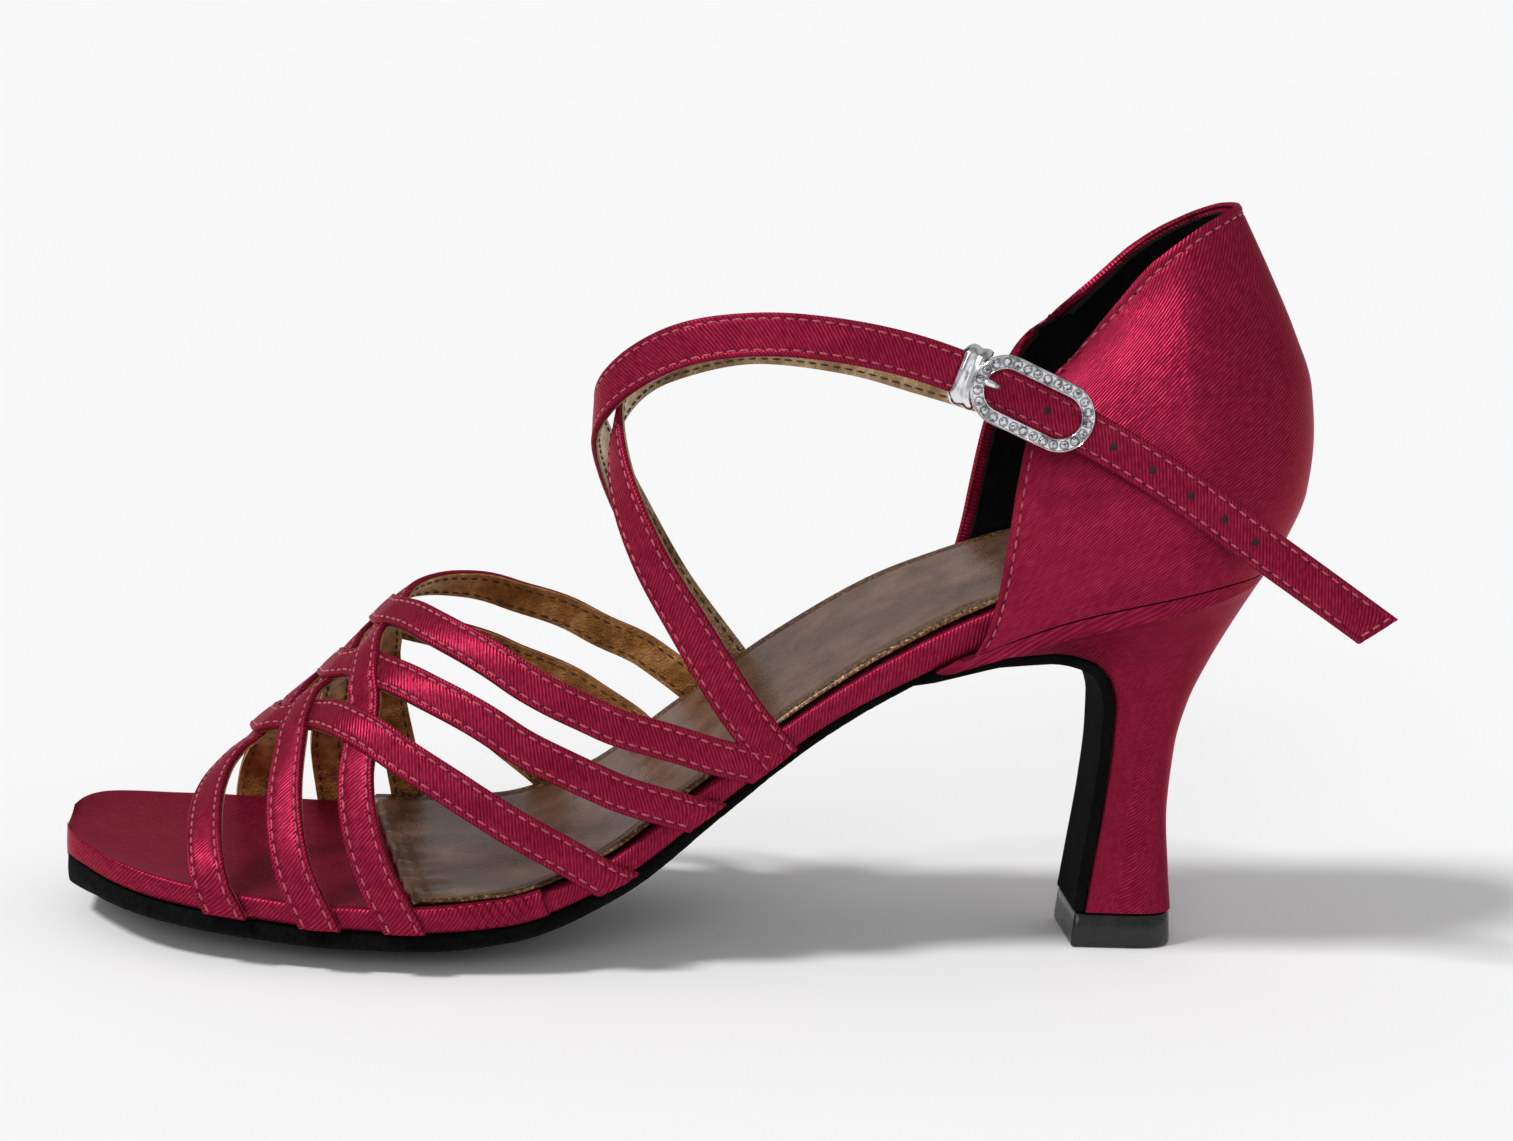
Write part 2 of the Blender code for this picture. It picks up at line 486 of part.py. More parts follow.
def make_heel(collection):
    loops = []
    for station in heel_stations():
        front, rear = heel_front(station), heel_rear(station)
        share = max(0.0, (station - HEEL_WAIST) / (1 - HEEL_WAIST))
        seat_middle = -heel_front(1.0)[0] / (CUP_BACK - heel_front(1.0)[0])
        middle = HEEL_MIDDLE + (seat_middle - HEEL_MIDDLE) * share
        if station < 1.0:
            half, front_half = HEEL["half"](station) * TIP_WIDTH, HEEL["front_half"](station) * TIP_WIDTH
        else:
            half, front_half = CUP_HALF, HEEL_LIP_WIDTH / 2
        points = []
        for s, y in d_outline(front_half, half, middle, HEEL["round"](station)):
            spot = front + (rear - front) * s
            points.append((spot[0], y, spot[1]))
        if station < 1.0:
            loops.append([np.array([x, y, z + lip_twist(x, y)]) for x, y, z in both_sides(points)])
        else:
            loops.append([np.array([x, y, seat_height(x, y) - GAP]) for x, y, z in both_sides(points)])
    return new_object("heel", symmetric_loft("heel", loops), collection)


def symmetric_loft(name, loops):
    """A solid through loops that are mirrored about the middle. Strips across cap its ends."""
    bm = bmesh.new()
    rings = [[bm.verts.new(point) for point in loop] for loop in loops]
    for one, two in zip(rings, rings[1:]):
        for i in range(len(one)):
            j = (i + 1) % len(one)
            bm.faces.new((one[i], one[j], two[j], two[i]))
    for ring in (rings[0], rings[-1]):
        count = len(ring)
        for i in range(count // 2):
            corners = [ring[i], ring[i + 1], ring[count - 2 - i], ring[count - 1 - i]]
            distinct = list(dict.fromkeys(corners))
            if len(distinct) > 2:
                bm.faces.new(distinct)
    return mesh_from_bmesh(name, bm)


def make_heel_tip(collection):
    """The top piece carries on the heel's outline, flares a little and ends flat on the floor."""
    outline = d_outline(TIP_WIDTH / 2, TIP_WIDTH / 2, TIP_MIDDLE, HEEL_ROWS[0].round)
    loops = []
    for height, flare in ((0.0, 0.0), (TIP_HEIGHT * TIP_EDGE, TIP_FLARE), (TIP_HEIGHT, TIP_FLARE * 2)):
        points = []
        for s, y in outline:
            x = (s - 0.5) * (TIP_LENGTH - 2 * flare)
            points.append((x, max(0.0, y - flare) if y > 0 else 0.0, height))
        loops.append([np.array(p) for p in both_sides(points)])
    return new_object("heel_tip", symmetric_loft("heel_tip", loops), collection)


def flap_section(centre, normal, half, thick):
    """A section of the flap across Y: centre and normal lie in the XZ plane."""
    top, bottom = [], []
    for v in [-1.0] + ACROSS + [1.0]:
        y = v * half
        twist = lip_twist(centre[0], y)
        top.append(np.array([centre[0], y, centre[1] + twist]))
        bottom.append(np.array([centre[0] + normal[0] * thick, y, centre[1] + normal[1] * thick + twist]))
    return top + bottom[::-1]


def make_outsole(collection):
    """The suede sole runs under the platform, leaves it at the waist and goes down the heel's front."""
    loops = []
    for along in FRONT_STATIONS[1:]:
        thinner = min(1.0, max(0.0, (along - THINNING_START) / (THINNING_END - THINNING_START)))
        thick = OUTSOLE_THICK + (FLAP_THICK - OUTSOLE_THICK) * thinner

        def top(a, v):
            return platform_depth(a, v) + GAP

        def bottom(a, v):
            return top(a, v) + thick * (1 - OUTSOLE_THINNING * edge_share(v))

        loops.append(sole_loop(along, top, bottom, SOLE["under"](along)))
    line = [heel_front(station) for station in heel_stations()]
    for index in range(HEEL_STATIONS, -1, -1):
        here = line[index]
        ahead, behind = line[max(0, index - 1)], line[min(HEEL_STATIONS, index + 1)]
        run = unit(ahead - behind)
        normal = np.array([run[1], -run[0]])
        if normal @ np.array(FACING) < 0:
            normal = -normal
        half = HEEL["flap"](heel_stations()[index]) * TIP_WIDTH
        centre = here + normal * GAP
        if index == 0:
            centre = centre + np.array([0.0, GAP])
        loops.append(flap_section(centre, normal, half, FLAP_THICK))
    return new_object("outsole", loft("outsole", loops), collection)


def cup_point(share_up, q, side):
    """A point on the heel cup's outside. q: 0 at the back, 0.5 at mid side, 1 at the front edge."""
    rows = CUP
    turn = min(q, 0.5) * pi
    toward_side = (1 - cos(turn)) ** SIDE_FULLNESS if q < 0.5 else 1.0
    toward_front = max(0.0, (q - 0.5) / 0.5)
    bend = toward_front ** FRONT_BEND

    def mix(back, mid, front):
        return back + (mid - back) * toward_side + (front - mid) * toward_front

    level = share_up
    side_x, half = rows["side_x"](level) * SEAT_WIDTH, rows["side"](level) * SEAT_WIDTH
    back, front = rows["back"](level) * SEAT_WIDTH, rows["front"](level) * SEAT_WIDTH
    front_half = rows["front_y"](level) * SEAT_WIDTH
    if q < 0.5:
        x, y = side_x + (back - side_x) * cos(turn), half * sin(turn)
    else:
        x, y = side_x + (front - side_x) * toward_front, half + (front_half - half) * bend
    foot_x, foot_y = (x, y) if level == 0 else cup_point(0.0, q, side)[[0, 1]] * (1, side)
    low = seat_height(foot_x, side * foot_y)
    rise = mix(COLLAR_BACK, COLLAR_SIDE, COLLAR_FRONT) - COLLAR_DIP * np.sin(pi * toward_front) ** 2
    up = mix(rows["up_back"](level), rows["up_side"](level), rows["up_front"](level))
    return np.array([x, side * y, low + rise * up])


def cup_columns():
    level = [i / (len(CUP_ROWS) - 1) for i in range(len(CUP_ROWS))]
    return {name: smooth_curve(level, [getattr(row, name) for row in CUP_ROWS]) for name in CupRow._fields}


CUP = cup_columns()


def make_counter(collection):
    """The heel cup: an outside surface from the seat to the collar, with its wall inside it."""
    turns = [(q / CUP_COLUMNS, -1) for q in range(CUP_COLUMNS, 0, -1)]
    turns += [(q / CUP_COLUMNS, 1) for q in range(CUP_COLUMNS + 1)]
    bm = bmesh.new()
    grid = [[bm.verts.new(cup_point(level / CUP_LEVELS, q, side)) for q, side in turns]
            for level in range(CUP_LEVELS + 1)]
    for low, high in zip(grid, grid[1:]):
        for i in range(len(low) - 1):
            bm.faces.new((low[i], low[i + 1], high[i + 1], high[i]))
    mesh = bpy.data.meshes.new("counter")
    bm.to_mesh(mesh)
    bm.free()
    mesh.shade_smooth()
    item = new_object("counter", mesh, collection)
    wall = item.modifiers.new("wall", "SOLIDIFY")
    wall.thickness = WALL
    wall.offset = -1
    return item


def arch_point(along, around):
    """A point on the vamp's inner form and its outward normal. around: -1 outer edge, 1 inner."""
    def spot(a, t):
        side = -1.0 if t < 0 else 1.0
        edge = bed_point(a, side, 0.0)
        start = edge[2] + STRAP_START
        over = max(0.0, abs(t) - 1.0)
        angle = pi / 2 * (1 - min(abs(t), 1.0))
        half = half_width(a, side) + SIDE_CLEAR
        y = side * half * cos(angle) ** (2 / ARCH_SQUARE) + RIDGE_SHIFT * sin(angle)
        top = bed_height(a) + RIDGE["height"](a) * FOOT_HEIGHT
        middle = sin(angle)
        return np.array([TOE_X + a * SOLE_LENGTH, y, start + (top - start) * middle - over * SKIRT])

    here = spot(along, around)
    run_along = spot(along + SAMPLE_STEP, around) - spot(along - SAMPLE_STEP, around)
    run_around = spot(along, around + SAMPLE_STEP) - spot(along, around - SAMPLE_STEP)
    normal = unit(np.cross(run_along, run_around))
    middle = np.array([here[0], 0.0, bed_height(along)])
    return here, normal if normal @ (here - middle) > 0 else -normal


def strap_frames(points, normals):
    """Even tangents, widths and normals for a strap along its route."""
    points = np.array(points)
    tangents = np.gradient(points, axis=0)
    frames = []
    for point, tangent, normal in zip(points, tangents, normals):
        t = unit(tangent)
        w = unit(np.cross(t, normal))
        frames.append((point, t, w, np.cross(w, t)))
    return frames


def beside_sole(points, normals, width):
    """Frames for a strap whose ends are pushed out until they clear the platform's side."""
    points = np.array(points)
    frames = strap_frames(points, normals)
    for index, (point, _, w, n) in enumerate(frames):
        inner = point - n * STRAP_THICK / 2
        side = 1.0 if point[1] > 0 else -1.0
        push = 0.0
        for corner in (inner - w * width / 2, inner, inner + w * width / 2):
            along = (corner[0] - TOE_X) / SOLE_LENGTH
            below = bed_point(along, side, 0.0)[2] - corner[2]
            slope = bed_slope(along)
            along -= max(0.0, below) * slope / (1 + slope * slope) / SOLE_LENGTH
            if below > -width / 2:
                push = max(push, half_width(along, side) + GAP + TURN_CLEAR - abs(corner[1]))
        points[index][1] += side * push
    return strap_frames(points, normals)


def strap_mesh(name, frames, width, thick):
    """A flat strap with eased edges along its frames."""
    loops = []
    for point, _, w, n in frames:
        half, ease, rise = width / 2, width / 2 - thick * 0.3, thick / 2
        loops.append([point - w * ease + n * rise, point + w * ease + n * rise, point + w * half,
                      point + w * ease - n * rise, point - w * ease - n * rise, point - w * half])
    bm = bmesh.new()
    rings = [[bm.verts.new(p) for p in loop] for loop in loops]
    for one, two in zip(rings, rings[1:]):
        for i in range(6):
            j = (i + 1) % 6
            bm.faces.new((one[i], one[j], two[j], two[i]))
    bm.faces.new(rings[0])
    bm.faces.new(rings[-1])
    return mesh_from_bmesh(name, bm)


def vamp_route(front_rows, rear_rows, front_side):
    """A vamp strap from its front base over the ridge to its rear base on the other side."""
    spots = [(r.along, r.around * front_side) for r in front_rows]
    spots += [(r.along, -r.around * front_side) for r in rear_rows]
    even = route([(a, t * AROUND_WEIGHT) for a, t in spots], VAMP_STATIONS * 3)
    even[:, 1] /= AROUND_WEIGHT
    points = np.array([arch_point(a, t)[0] for a, t in even])
    run = np.concatenate([[0], np.cumsum(np.linalg.norm(np.diff(points, axis=0), axis=1))])
    wanted = np.linspace(0, run[-1], VAMP_STATIONS)
    places = [(np.interp(w, run, even[:, 0]), np.interp(w, run, even[:, 1])) for w in wanted]
    return [(*arch_point(along, around), abs(around)) for along, around in places]


def crossing(one, two):
    """The stations where two strap routes come closest."""
    first, second = np.array([place[0] for place in one]), np.array([place[0] for place in two])
    away = np.linalg.norm(first[:, None] - second[None], axis=2)
    return np.unravel_index(np.argmin(away), away.shape)


def ramp(share):
    """A soft step from 0 to 1."""
    share = min(1.0, max(0.0, share))
    return share * share * (3 - 2 * share)


def raise_strap(places, spot, way):
    """Lifts a strap at a crossing, or lowers it unless it lies on the sole's side there."""
    points = np.array([place[0] for place in places])
    run = np.concatenate([[0], np.cumsum(np.linalg.norm(np.diff(points, axis=0), axis=1))])
    amount = (STRAP_THICK - STRAP_OVERLAP) / 2
    lifts = []
    for (_, _, around), r in zip(places, run):
        near = 1 - ramp((abs(r - run[spot]) - CROSS_FLAT) / CROSS_RAMP)
        beside_sole = ramp((around - SIDE_RAMP_START) / (SIDE_RAMP_END - SIDE_RAMP_START))
        lifts.append(near * amount * (way + beside_sole))
    return np.array(lifts)


def join(base, others):
    for other in others:
        union = base.modifiers.new("join " + other.name, "BOOLEAN")
        union.operation = "UNION"
        union.solver = "EXACT"
        union.object = other


def make_vamp(collection, helpers):
    """Three straps each way, woven: one family passes over where the two numbers match in parity."""
    outer = [vamp_route(OUTER_FRONT_ROWS[k], INNER_REAR_ROWS[k], -1) for k in range(3)]
    inner = [vamp_route(INNER_FRONT_ROWS[k], OUTER_REAR_ROWS[k], 1) for k in range(3)]
    lift_outer = [np.zeros(VAMP_STATIONS) for _ in range(3)]
    lift_inner = [np.zeros(VAMP_STATIONS) for _ in range(3)]
    for j in range(3):
        for k in range(3):
            at_outer, at_inner = crossing(outer[j], inner[k])
            way = 1 if (j - k) % 2 == 0 else -1
            lift_outer[j] += raise_strap(outer[j], at_outer, -way)
            lift_inner[k] += raise_strap(inner[k], at_inner, way)
    items = []
    for family, lifts, label in ((outer, lift_outer, "outer"), (inner, lift_inner, "inner")):
        for index in range(3):
            points = [p + n * lift for (p, n, _), lift in zip(family[index], lifts[index])]
            frames = beside_sole(points, [n for _, n, _ in family[index]], STRAP_WIDTH)
            mesh = strap_mesh("%s strap %d" % (label, index + 1), frames, STRAP_WIDTH, STRAP_THICK)
            items.append(new_object(mesh.name, mesh, helpers))
    base = items[0]
    helpers.objects.unlink(base)
    collection.objects.link(base)
    base.name = "vamp_straps"
    join(base, items[1:])
    return base


def route_points(rows, count):
    points = []
    for row in rows:
        clear = min(1.0, max(-1.0, row.out / SIDE_START)) * SIDE_CLEAR
        y = row.out * (HALF_BALL - SIDE_CLEAR) + clear
        points.append((TOE_X + row.along * SOLE_LENGTH, y, row.up * SEAT_HEIGHT))
    return route(points, count)


def leg_frames(points):
    """Frames for an instep strap, whose outside faces away from the leg's axis."""
    axis_x = TOE_X + LEG_AXIS * SOLE_LENGTH
    normals = []
    for x, y, z in points:
        depth = (x - axis_x) * (LEG_DEPTH if x > axis_x else 1.0)
        normals.append(unit(np.array([depth, y * LEG_BREADTH, 0.0])))
    return beside_sole(points, normals, INSTEP_WIDTH)


def make_instep(collection, helpers):
    """Two straps that cross on the instep. The outer one runs on through the buckle to its tail."""
    under = strap_mesh("under strap", leg_frames(route_points(UNDER_ROWS, UNDER_STATIONS)),
                       INSTEP_WIDTH, STRAP_THICK)
    over_frames = leg_frames(route_points(OVER_ROWS, OVER_STATIONS))
    over = strap_mesh("instep_straps", over_frames, INSTEP_WIDTH, STRAP_THICK)
    base = new_object("instep_straps", over, collection)
    join(base, [new_object("under strap", under, helpers)])
    return base, over_frames


def frame_at(frames, along):
    """The strap's frame at a place along the sole, on its way back."""
    wanted = TOE_X + along * SOLE_LENGTH
    index = max(i for i in range(len(frames) - 1) if frames[i][0][0] <= wanted)
    before, after = frames[index], frames[index + 1]
    share = (wanted - before[0][0]) / (after[0][0] - before[0][0])
    point, t, w, n = [a + (b - a) * share for a, b in zip(before, after)]
    t = unit(t)
    w = unit(w - t * (w @ t))
    return point, t, w, np.cross(w, t)


def placed(frame, t, w, n):
    """A point given along, across and out from a strap frame."""
    point, along, across, out = frame
    return point + along * t + across * w + out * n


def buckle_underside(t):
    """The frame leans on the keeper at its front end and on the strap at its rear end."""
    rear = STRAP_THICK / 2 + GAP
    front = rear + KEEPER_ROOM + KEEPER_THICK + GAP
    return rear + (front - rear) * (0.5 - t / BUCKLE_LENGTH)


def make_buckle_frame(collection, frame):
    """An oval frame on top of the strap and the keeper, with a low rounded band."""
    straight = (BUCKLE_LENGTH - BUCKLE_WIDTH) / 2
    radius = (BUCKLE_WIDTH - BUCKLE_BAND) / 2
    loops = []
    for i in range(OVAL_STEPS):
        angle = 2 * pi * i / OVAL_STEPS
        centre_t = straight if cos(angle) >= 0 else -straight
        loop = []
        for reach, height in ((-0.5, 0.0), (0.5, 0.0), (0.5, FRAME_CROWN), (0.25, 1.0), (-0.25, 1.0),
                              (-0.5, FRAME_CROWN)):
            r = radius + reach * BUCKLE_BAND
            t = centre_t + r * cos(angle)
            rise = buckle_underside(t) + height * BUCKLE_THICK
            loop.append(placed(frame, t, r * sin(angle), rise))
        loops.append(loop)
    return new_object("buckle_frame", loft("buckle_frame", loops, closed=True), collection)


def wire(name, points, thick, collection):
    """A round wire along a short route."""
    curve = bpy.data.curves.new(name, "CURVE")
    curve.dimensions = "3D"
    curve.bevel_depth = thick / 2
    curve.bevel_resolution = WIRE_SIDES
    curve.use_fill_caps = True
    line = curve.splines.new("POLY")
    line.points.add(len(points) - 1)
    for spot, point in zip(line.points, points):
        spot.co = (*point, 1.0)
    return new_object(name, curve, collection)


def make_buckle_bar(collection, frame):
    """The centre bar lies under the strap, and its ends rise to the frame's underside."""
    reach = (BUCKLE_WIDTH - BUCKLE_BAND) / 2
    low = -STRAP_THICK / 2 - GAP - BAR_THICK / 2
    high = buckle_underside(0.0) - GAP
    bend = BAR_THICK
    cut = bend * BAR_CORNER
    corners = [(reach, high), (reach, low + bend), (reach - cut, low + cut), (reach - bend, low)]
    half = [placed(frame, 0.0, w, n) for w, n in corners]
    other = [placed(frame, 0.0, -w, n) for w, n in corners[::-1]]
    return wire("buckle_bar", half + other, BAR_THICK, collection)


def make_buckle_prong(collection, helpers, frame, straps):
    """The prong comes from the bar, up through the strap and rests on the frame's front end."""
    under = -STRAP_THICK / 2 - GAP - PRONG_THICK / 2
    start = -(BAR_THICK / 2 + GAP)
    front = -(BUCKLE_LENGTH / 2 - BUCKLE_BAND * PRONG_REST)
    over = buckle_underside(front) + BUCKLE_THICK + GAP + PRONG_THICK / 2
    steps = [(start, under), (-HOLE_BACK + PRONG_HOLE * 0.35, under), (-HOLE_BACK, under + PRONG_THICK * 0.7),
             (-HOLE_BACK - PRONG_HOLE * 0.1, STRAP_THICK / 2), (-HOLE_BACK - PRONG_HOLE * 0.5, over * 0.75),
             (-HOLE_BACK - PRONG_HOLE * 1.2, over), (front, over)]
    wire("buckle_prong", [placed(frame, t, 0.0, n) for t, n in steps], PRONG_THICK, collection)
    bpy.ops.mesh.primitive_cylinder_add(vertices=HOLE_SIDES, radius=PRONG_HOLE / 2 + PRONG_THICK * HOLE_EASE,
                                        depth=STRAP_THICK * 4)
    hole = bpy.context.object
    hole.name = "prong hole"
    point, along, across, out = frame
    turn = Matrix([along, across, out]).transposed().to_4x4()
    hole.matrix_world = Matrix.Translation(placed(frame, -HOLE_BACK, 0.0, 0.0)) @ turn
    for owner in hole.users_collection:
        owner.objects.unlink(hole)
    helpers.objects.link(hole)
    cut = straps.modifiers.new("prong hole", "BOOLEAN")
    cut.operation = "DIFFERENCE"
    cut.solver = "EXACT"
    cut.object = hole


def make_keeper(collection, frame):
    """A metal loop round the strap, in front of the buckle."""
    half_w = INSTEP_WIDTH / 2 + GAP + KEEPER_THICK / 2 + KEEPER_ROOM * 2
    half_n = STRAP_THICK / 2 + GAP + KEEPER_THICK / 2 + KEEPER_ROOM
    corner = half_n * 0.9
    outline = []
    for cw, cn, start in ((1, 1, 0), (-1, 1, 1), (-1, -1, 2), (1, -1, 3)):
        for i in range(4):
            angle = pi / 2 * (start + i / 3)
            outline.append((cw * (half_w - corner) + corner * cos(angle),
                            cn * (half_n - corner) + corner * sin(angle)))
    loops = []
    for w, n in outline:
        away = unit(np.array([w - (half_w - corner) * (1 if w > 0 else -1), n]))
        loop = []
        for t, reach in ((-0.5, -0.5), (0.5, -0.5), (0.5, 0.2), (0.25, 0.5), (-0.25, 0.5), (-0.5, 0.2)):
            loop.append(placed(frame, t * KEEPER_LENGTH, w + away[0] * reach * KEEPER_THICK,
                               n + away[1] * reach * KEEPER_THICK))
        loops.append(loop)
    return new_object("buckle_keeper", loft("buckle_keeper", loops, closed=True), collection)


def cup_side(x, z):
    """Half width of the heel cup's outside at a place seen from the outer side."""
    spots = [cup_point(level / 20, 0.5 + q / 40, 1) for level in range(21) for q in range(21)]
    nearest = sorted(spots, key=lambda p: (p[0] - x) ** 2 + (p[2] - z) ** 2)[:3]
    return max(p[1] for p in nearest)


def make_tab(collection, frame):
    """A short tab from the bar back onto the counter's outside, under the strap."""
    under = -STRAP_THICK / 2 - GAP - TAB_THICK / 2
    start = BAR_THICK / 2 + GAP
    points = []
    for i in range(TAB_STEPS + 1):
        share = i / TAB_STEPS
        point = placed(frame, start + TAB_LENGTH * share, 0.0, under - TAB_RISE)
        seated = -(cup_side(point[0], point[2]) + GAP + TAB_THICK / 2 + TAB_RISE)
        point[1] += (seated - point[1]) * ramp(share)
        points.append(point)
    frames = strap_frames(points, [frame[3]] * len(points))
    mesh = strap_mesh("buckle_tab", frames, TAB_WIDTH, TAB_THICK)
    return new_object("buckle_tab", mesh, collection)


def material(name, colour, roughness, metallic=0.0):
    made = bpy.data.materials.new(name)
    made.use_nodes = True
    shader = made.node_tree.nodes["Principled BSDF"]
    shader.inputs["Base Color"].default_value = (*colour, 1.0)
    shader.inputs["Roughness"].default_value = roughness
    shader.inputs["Metallic"].default_value = metallic
    return made


FINISHES = {
    "outsole": ((0.012, 0.012, 0.013), 0.95, 0.0),
    "platform": ((0.30, 0.012, 0.060), 0.42, 0.0),
    "insole": ((0.075, 0.055, 0.045), 0.30, 0.4),
    "heel": ((0.30, 0.012, 0.060), 0.42, 0.0),
    "heel_tip": ((0.010, 0.010, 0.011), 0.22, 0.0),
    "counter": ((0.30, 0.012, 0.060), 0.42, 0.0),
    "vamp_straps": ((0.33, 0.015, 0.068), 0.42, 0.0),
    "instep_straps": ((0.33, 0.015, 0.068), 0.42, 0.0),
    "buckle_frame": ((0.80, 0.80, 0.82), 0.15, 1.0),
    "buckle_bar": ((0.70, 0.70, 0.72), 0.20, 1.0),
    "buckle_prong": ((0.80, 0.80, 0.82), 0.12, 1.0),
    "buckle_keeper": ((0.80, 0.80, 0.82), 0.12, 1.0),
    "buckle_tab": ((0.33, 0.015, 0.068), 0.42, 0.0),
}


def main():
    for item in list(bpy.data.objects):
        bpy.data.objects.remove(item, do_unlink=True)
    shoe = bpy.data.collections.new("ballroom dance shoe")
    helpers = bpy.data.collections.new("cutters and strap halves")
    for collection in (shoe, helpers):
        bpy.context.scene.collection.children.link(collection)

    make_outsole(shoe)
    make_platform(shoe)
    make_insole(shoe)
    make_heel(shoe)
    make_heel_tip(shoe)
    make_counter(shoe)
    make_vamp(shoe, helpers)
    straps, over_frames = make_instep(shoe, helpers)
    buckle = frame_at(over_frames, BUCKLE_AT)
    make_buckle_frame(shoe, buckle)
    make_buckle_bar(shoe, buckle)
    make_buckle_prong(shoe, helpers, buckle, straps)
    make_keeper(shoe, frame_at(over_frames, KEEPER_AT))
    make_tab(shoe, buckle)

    for item in helpers.objects:
        item.hide_render = True
        item.display_type = "WIRE"
    for item in shoe.objects:
        item.data.materials.clear()
        item.data.materials.append(material(item.name, *FINISHES[item.name]))


main()
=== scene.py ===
from functools import lru_cache
from math import cos, exp, pi, radians, sin

import bmesh
import bpy
import numpy as np
from mathutils import Matrix, Vector, noise


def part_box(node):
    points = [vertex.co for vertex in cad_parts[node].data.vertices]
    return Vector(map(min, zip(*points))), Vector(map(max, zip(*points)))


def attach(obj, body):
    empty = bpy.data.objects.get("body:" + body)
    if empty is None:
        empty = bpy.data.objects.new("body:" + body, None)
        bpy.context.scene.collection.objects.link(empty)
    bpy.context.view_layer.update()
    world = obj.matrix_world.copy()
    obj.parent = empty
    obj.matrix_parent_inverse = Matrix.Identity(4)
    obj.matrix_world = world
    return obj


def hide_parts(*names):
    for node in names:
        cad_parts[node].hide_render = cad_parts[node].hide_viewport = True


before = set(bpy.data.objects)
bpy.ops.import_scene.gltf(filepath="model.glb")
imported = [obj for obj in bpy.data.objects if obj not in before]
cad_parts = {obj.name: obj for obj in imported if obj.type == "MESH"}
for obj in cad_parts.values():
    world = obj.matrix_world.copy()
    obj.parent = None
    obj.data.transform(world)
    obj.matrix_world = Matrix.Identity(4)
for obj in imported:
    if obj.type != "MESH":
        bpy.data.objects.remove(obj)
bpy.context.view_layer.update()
print("frame loaded")

platformLow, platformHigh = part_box("platform")
tipLow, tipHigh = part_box("heel_tip")

sole = {                        # driving sizes, the first four from the frame
    "toeX": platformLow.x,
    "length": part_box("insole")[1].x + 0.001 - platformLow.x,
    "seatHeight": platformHigh.z,
    "halfBall": (platformHigh.y - platformLow.y) / 2,
    "thick": 0.0058,
    "outsoleThick": 0.0042,
    "flapThick": 0.0021,
    "gap": 0.0003,
    "toeSpring": 0.0059,
    "archLift": 0.0046,
    "dish": 0.0022,
    "edgeThinning": 0.27,
    "outsoleThinning": 0.22,
    "waist": 0.688,             # where the outsole leaves the platform, as a share along
}
sole["stack"] = sole["thick"] + sole["gap"] + sole["outsoleThick"]


# Curves and frames

def smoothCurve(xs, ys):        # passes through the points and never overshoots them
    xs, ys = np.array(xs, float), np.array(ys, float)
    step = np.diff(xs)
    slope = np.diff(ys) / step
    tangent = np.concatenate([slope[:1], np.zeros(len(xs) - 2), slope[-1:]])
    for i in range(1, len(xs) - 1):
        if slope[i - 1] * slope[i] > 0:
            a, b = 2 * step[i] + step[i - 1], step[i] + 2 * step[i - 1]
            tangent[i] = (a + b) / (a / slope[i - 1] + b / slope[i])

    def at(x):
        x = min(max(x, xs[0]), xs[-1])
        i = min(int(np.searchsorted(xs, x, side="right")) - 1, len(step) - 1)
        s = (x - xs[i]) / step[i]
        start = (1 + 2 * s) * (1 - s) ** 2 * ys[i] + s * (1 - s) ** 2 * step[i] * tangent[i]
        return start + s * s * (3 - 2 * s) * ys[i + 1] - s * s * (1 - s) * step[i] * tangent[i + 1]

    return at


def curvesOf(table):            # the first column is the key of all the others
    names = list(table)
    return {name: smoothCurve(table[names[0]], table[name]) for name in names[1:]}


def unit(v):
    return v / np.linalg.norm(v)


def ramp(share):
    share = min(1.0, max(0.0, share))
    return share * share * (3 - 2 * share)


def runOf(points):
    return np.concatenate([[0], np.cumsum(np.linalg.norm(np.diff(np.array(points), axis=0), axis=1))])


def evenRoute(points, count):   # evenly spaced points on a smooth curve through the given ones
    points = np.array(points, float)
    knots = np.concatenate([[0], np.cumsum(np.sqrt(np.linalg.norm(np.diff(points, axis=0), axis=1)))])
    full = np.concatenate([[2 * points[0] - points[1]], points, [2 * points[-1] - points[-2]]])
    times = np.concatenate([[2 * knots[0] - knots[1]], knots, [2 * knots[-1] - knots[-2]]])
    dense = []
    for i in range(1, len(full) - 2):
        t0, t1, t2, t3 = times[i - 1:i + 3]
        p0, p1, p2, p3 = full[i - 1:i + 3]
        for t in np.linspace(t1, t2, 24, endpoint=False):
            a1 = (t1 - t) / (t1 - t0) * p0 + (t - t0) / (t1 - t0) * p1
            a2 = (t2 - t) / (t2 - t1) * p1 + (t - t1) / (t2 - t1) * p2
            a3 = (t3 - t) / (t3 - t2) * p2 + (t - t2) / (t3 - t2) * p3
            b1 = (t2 - t) / (t2 - t0) * a1 + (t - t0) / (t2 - t0) * a2
            b2 = (t3 - t) / (t3 - t1) * a2 + (t - t1) / (t3 - t1) * a3
            dense.append((t2 - t) / (t2 - t1) * b1 + (t - t1) / (t2 - t1) * b2)
    dense = np.array(dense + [points[-1]])
    run = runOf(dense)
    wanted = np.linspace(0, run[-1], count)
    return np.stack([np.interp(wanted, run, dense[:, k]) for k in range(dense.shape[1])], 1)


def strapFrames(points, normals):
    points = np.array(points)
    frames = []
    for point, tangent, normal in zip(points, np.gradient(points, axis=0), normals):
        t = unit(tangent)
        w = unit(np.cross(t, normal))
        frames.append((point, t, w, np.cross(w, t)))
    return frames


def placed(strapFrame, t, w, n):
    point, along, across, out = strapFrame
    return point + along * t + across * w + out * n


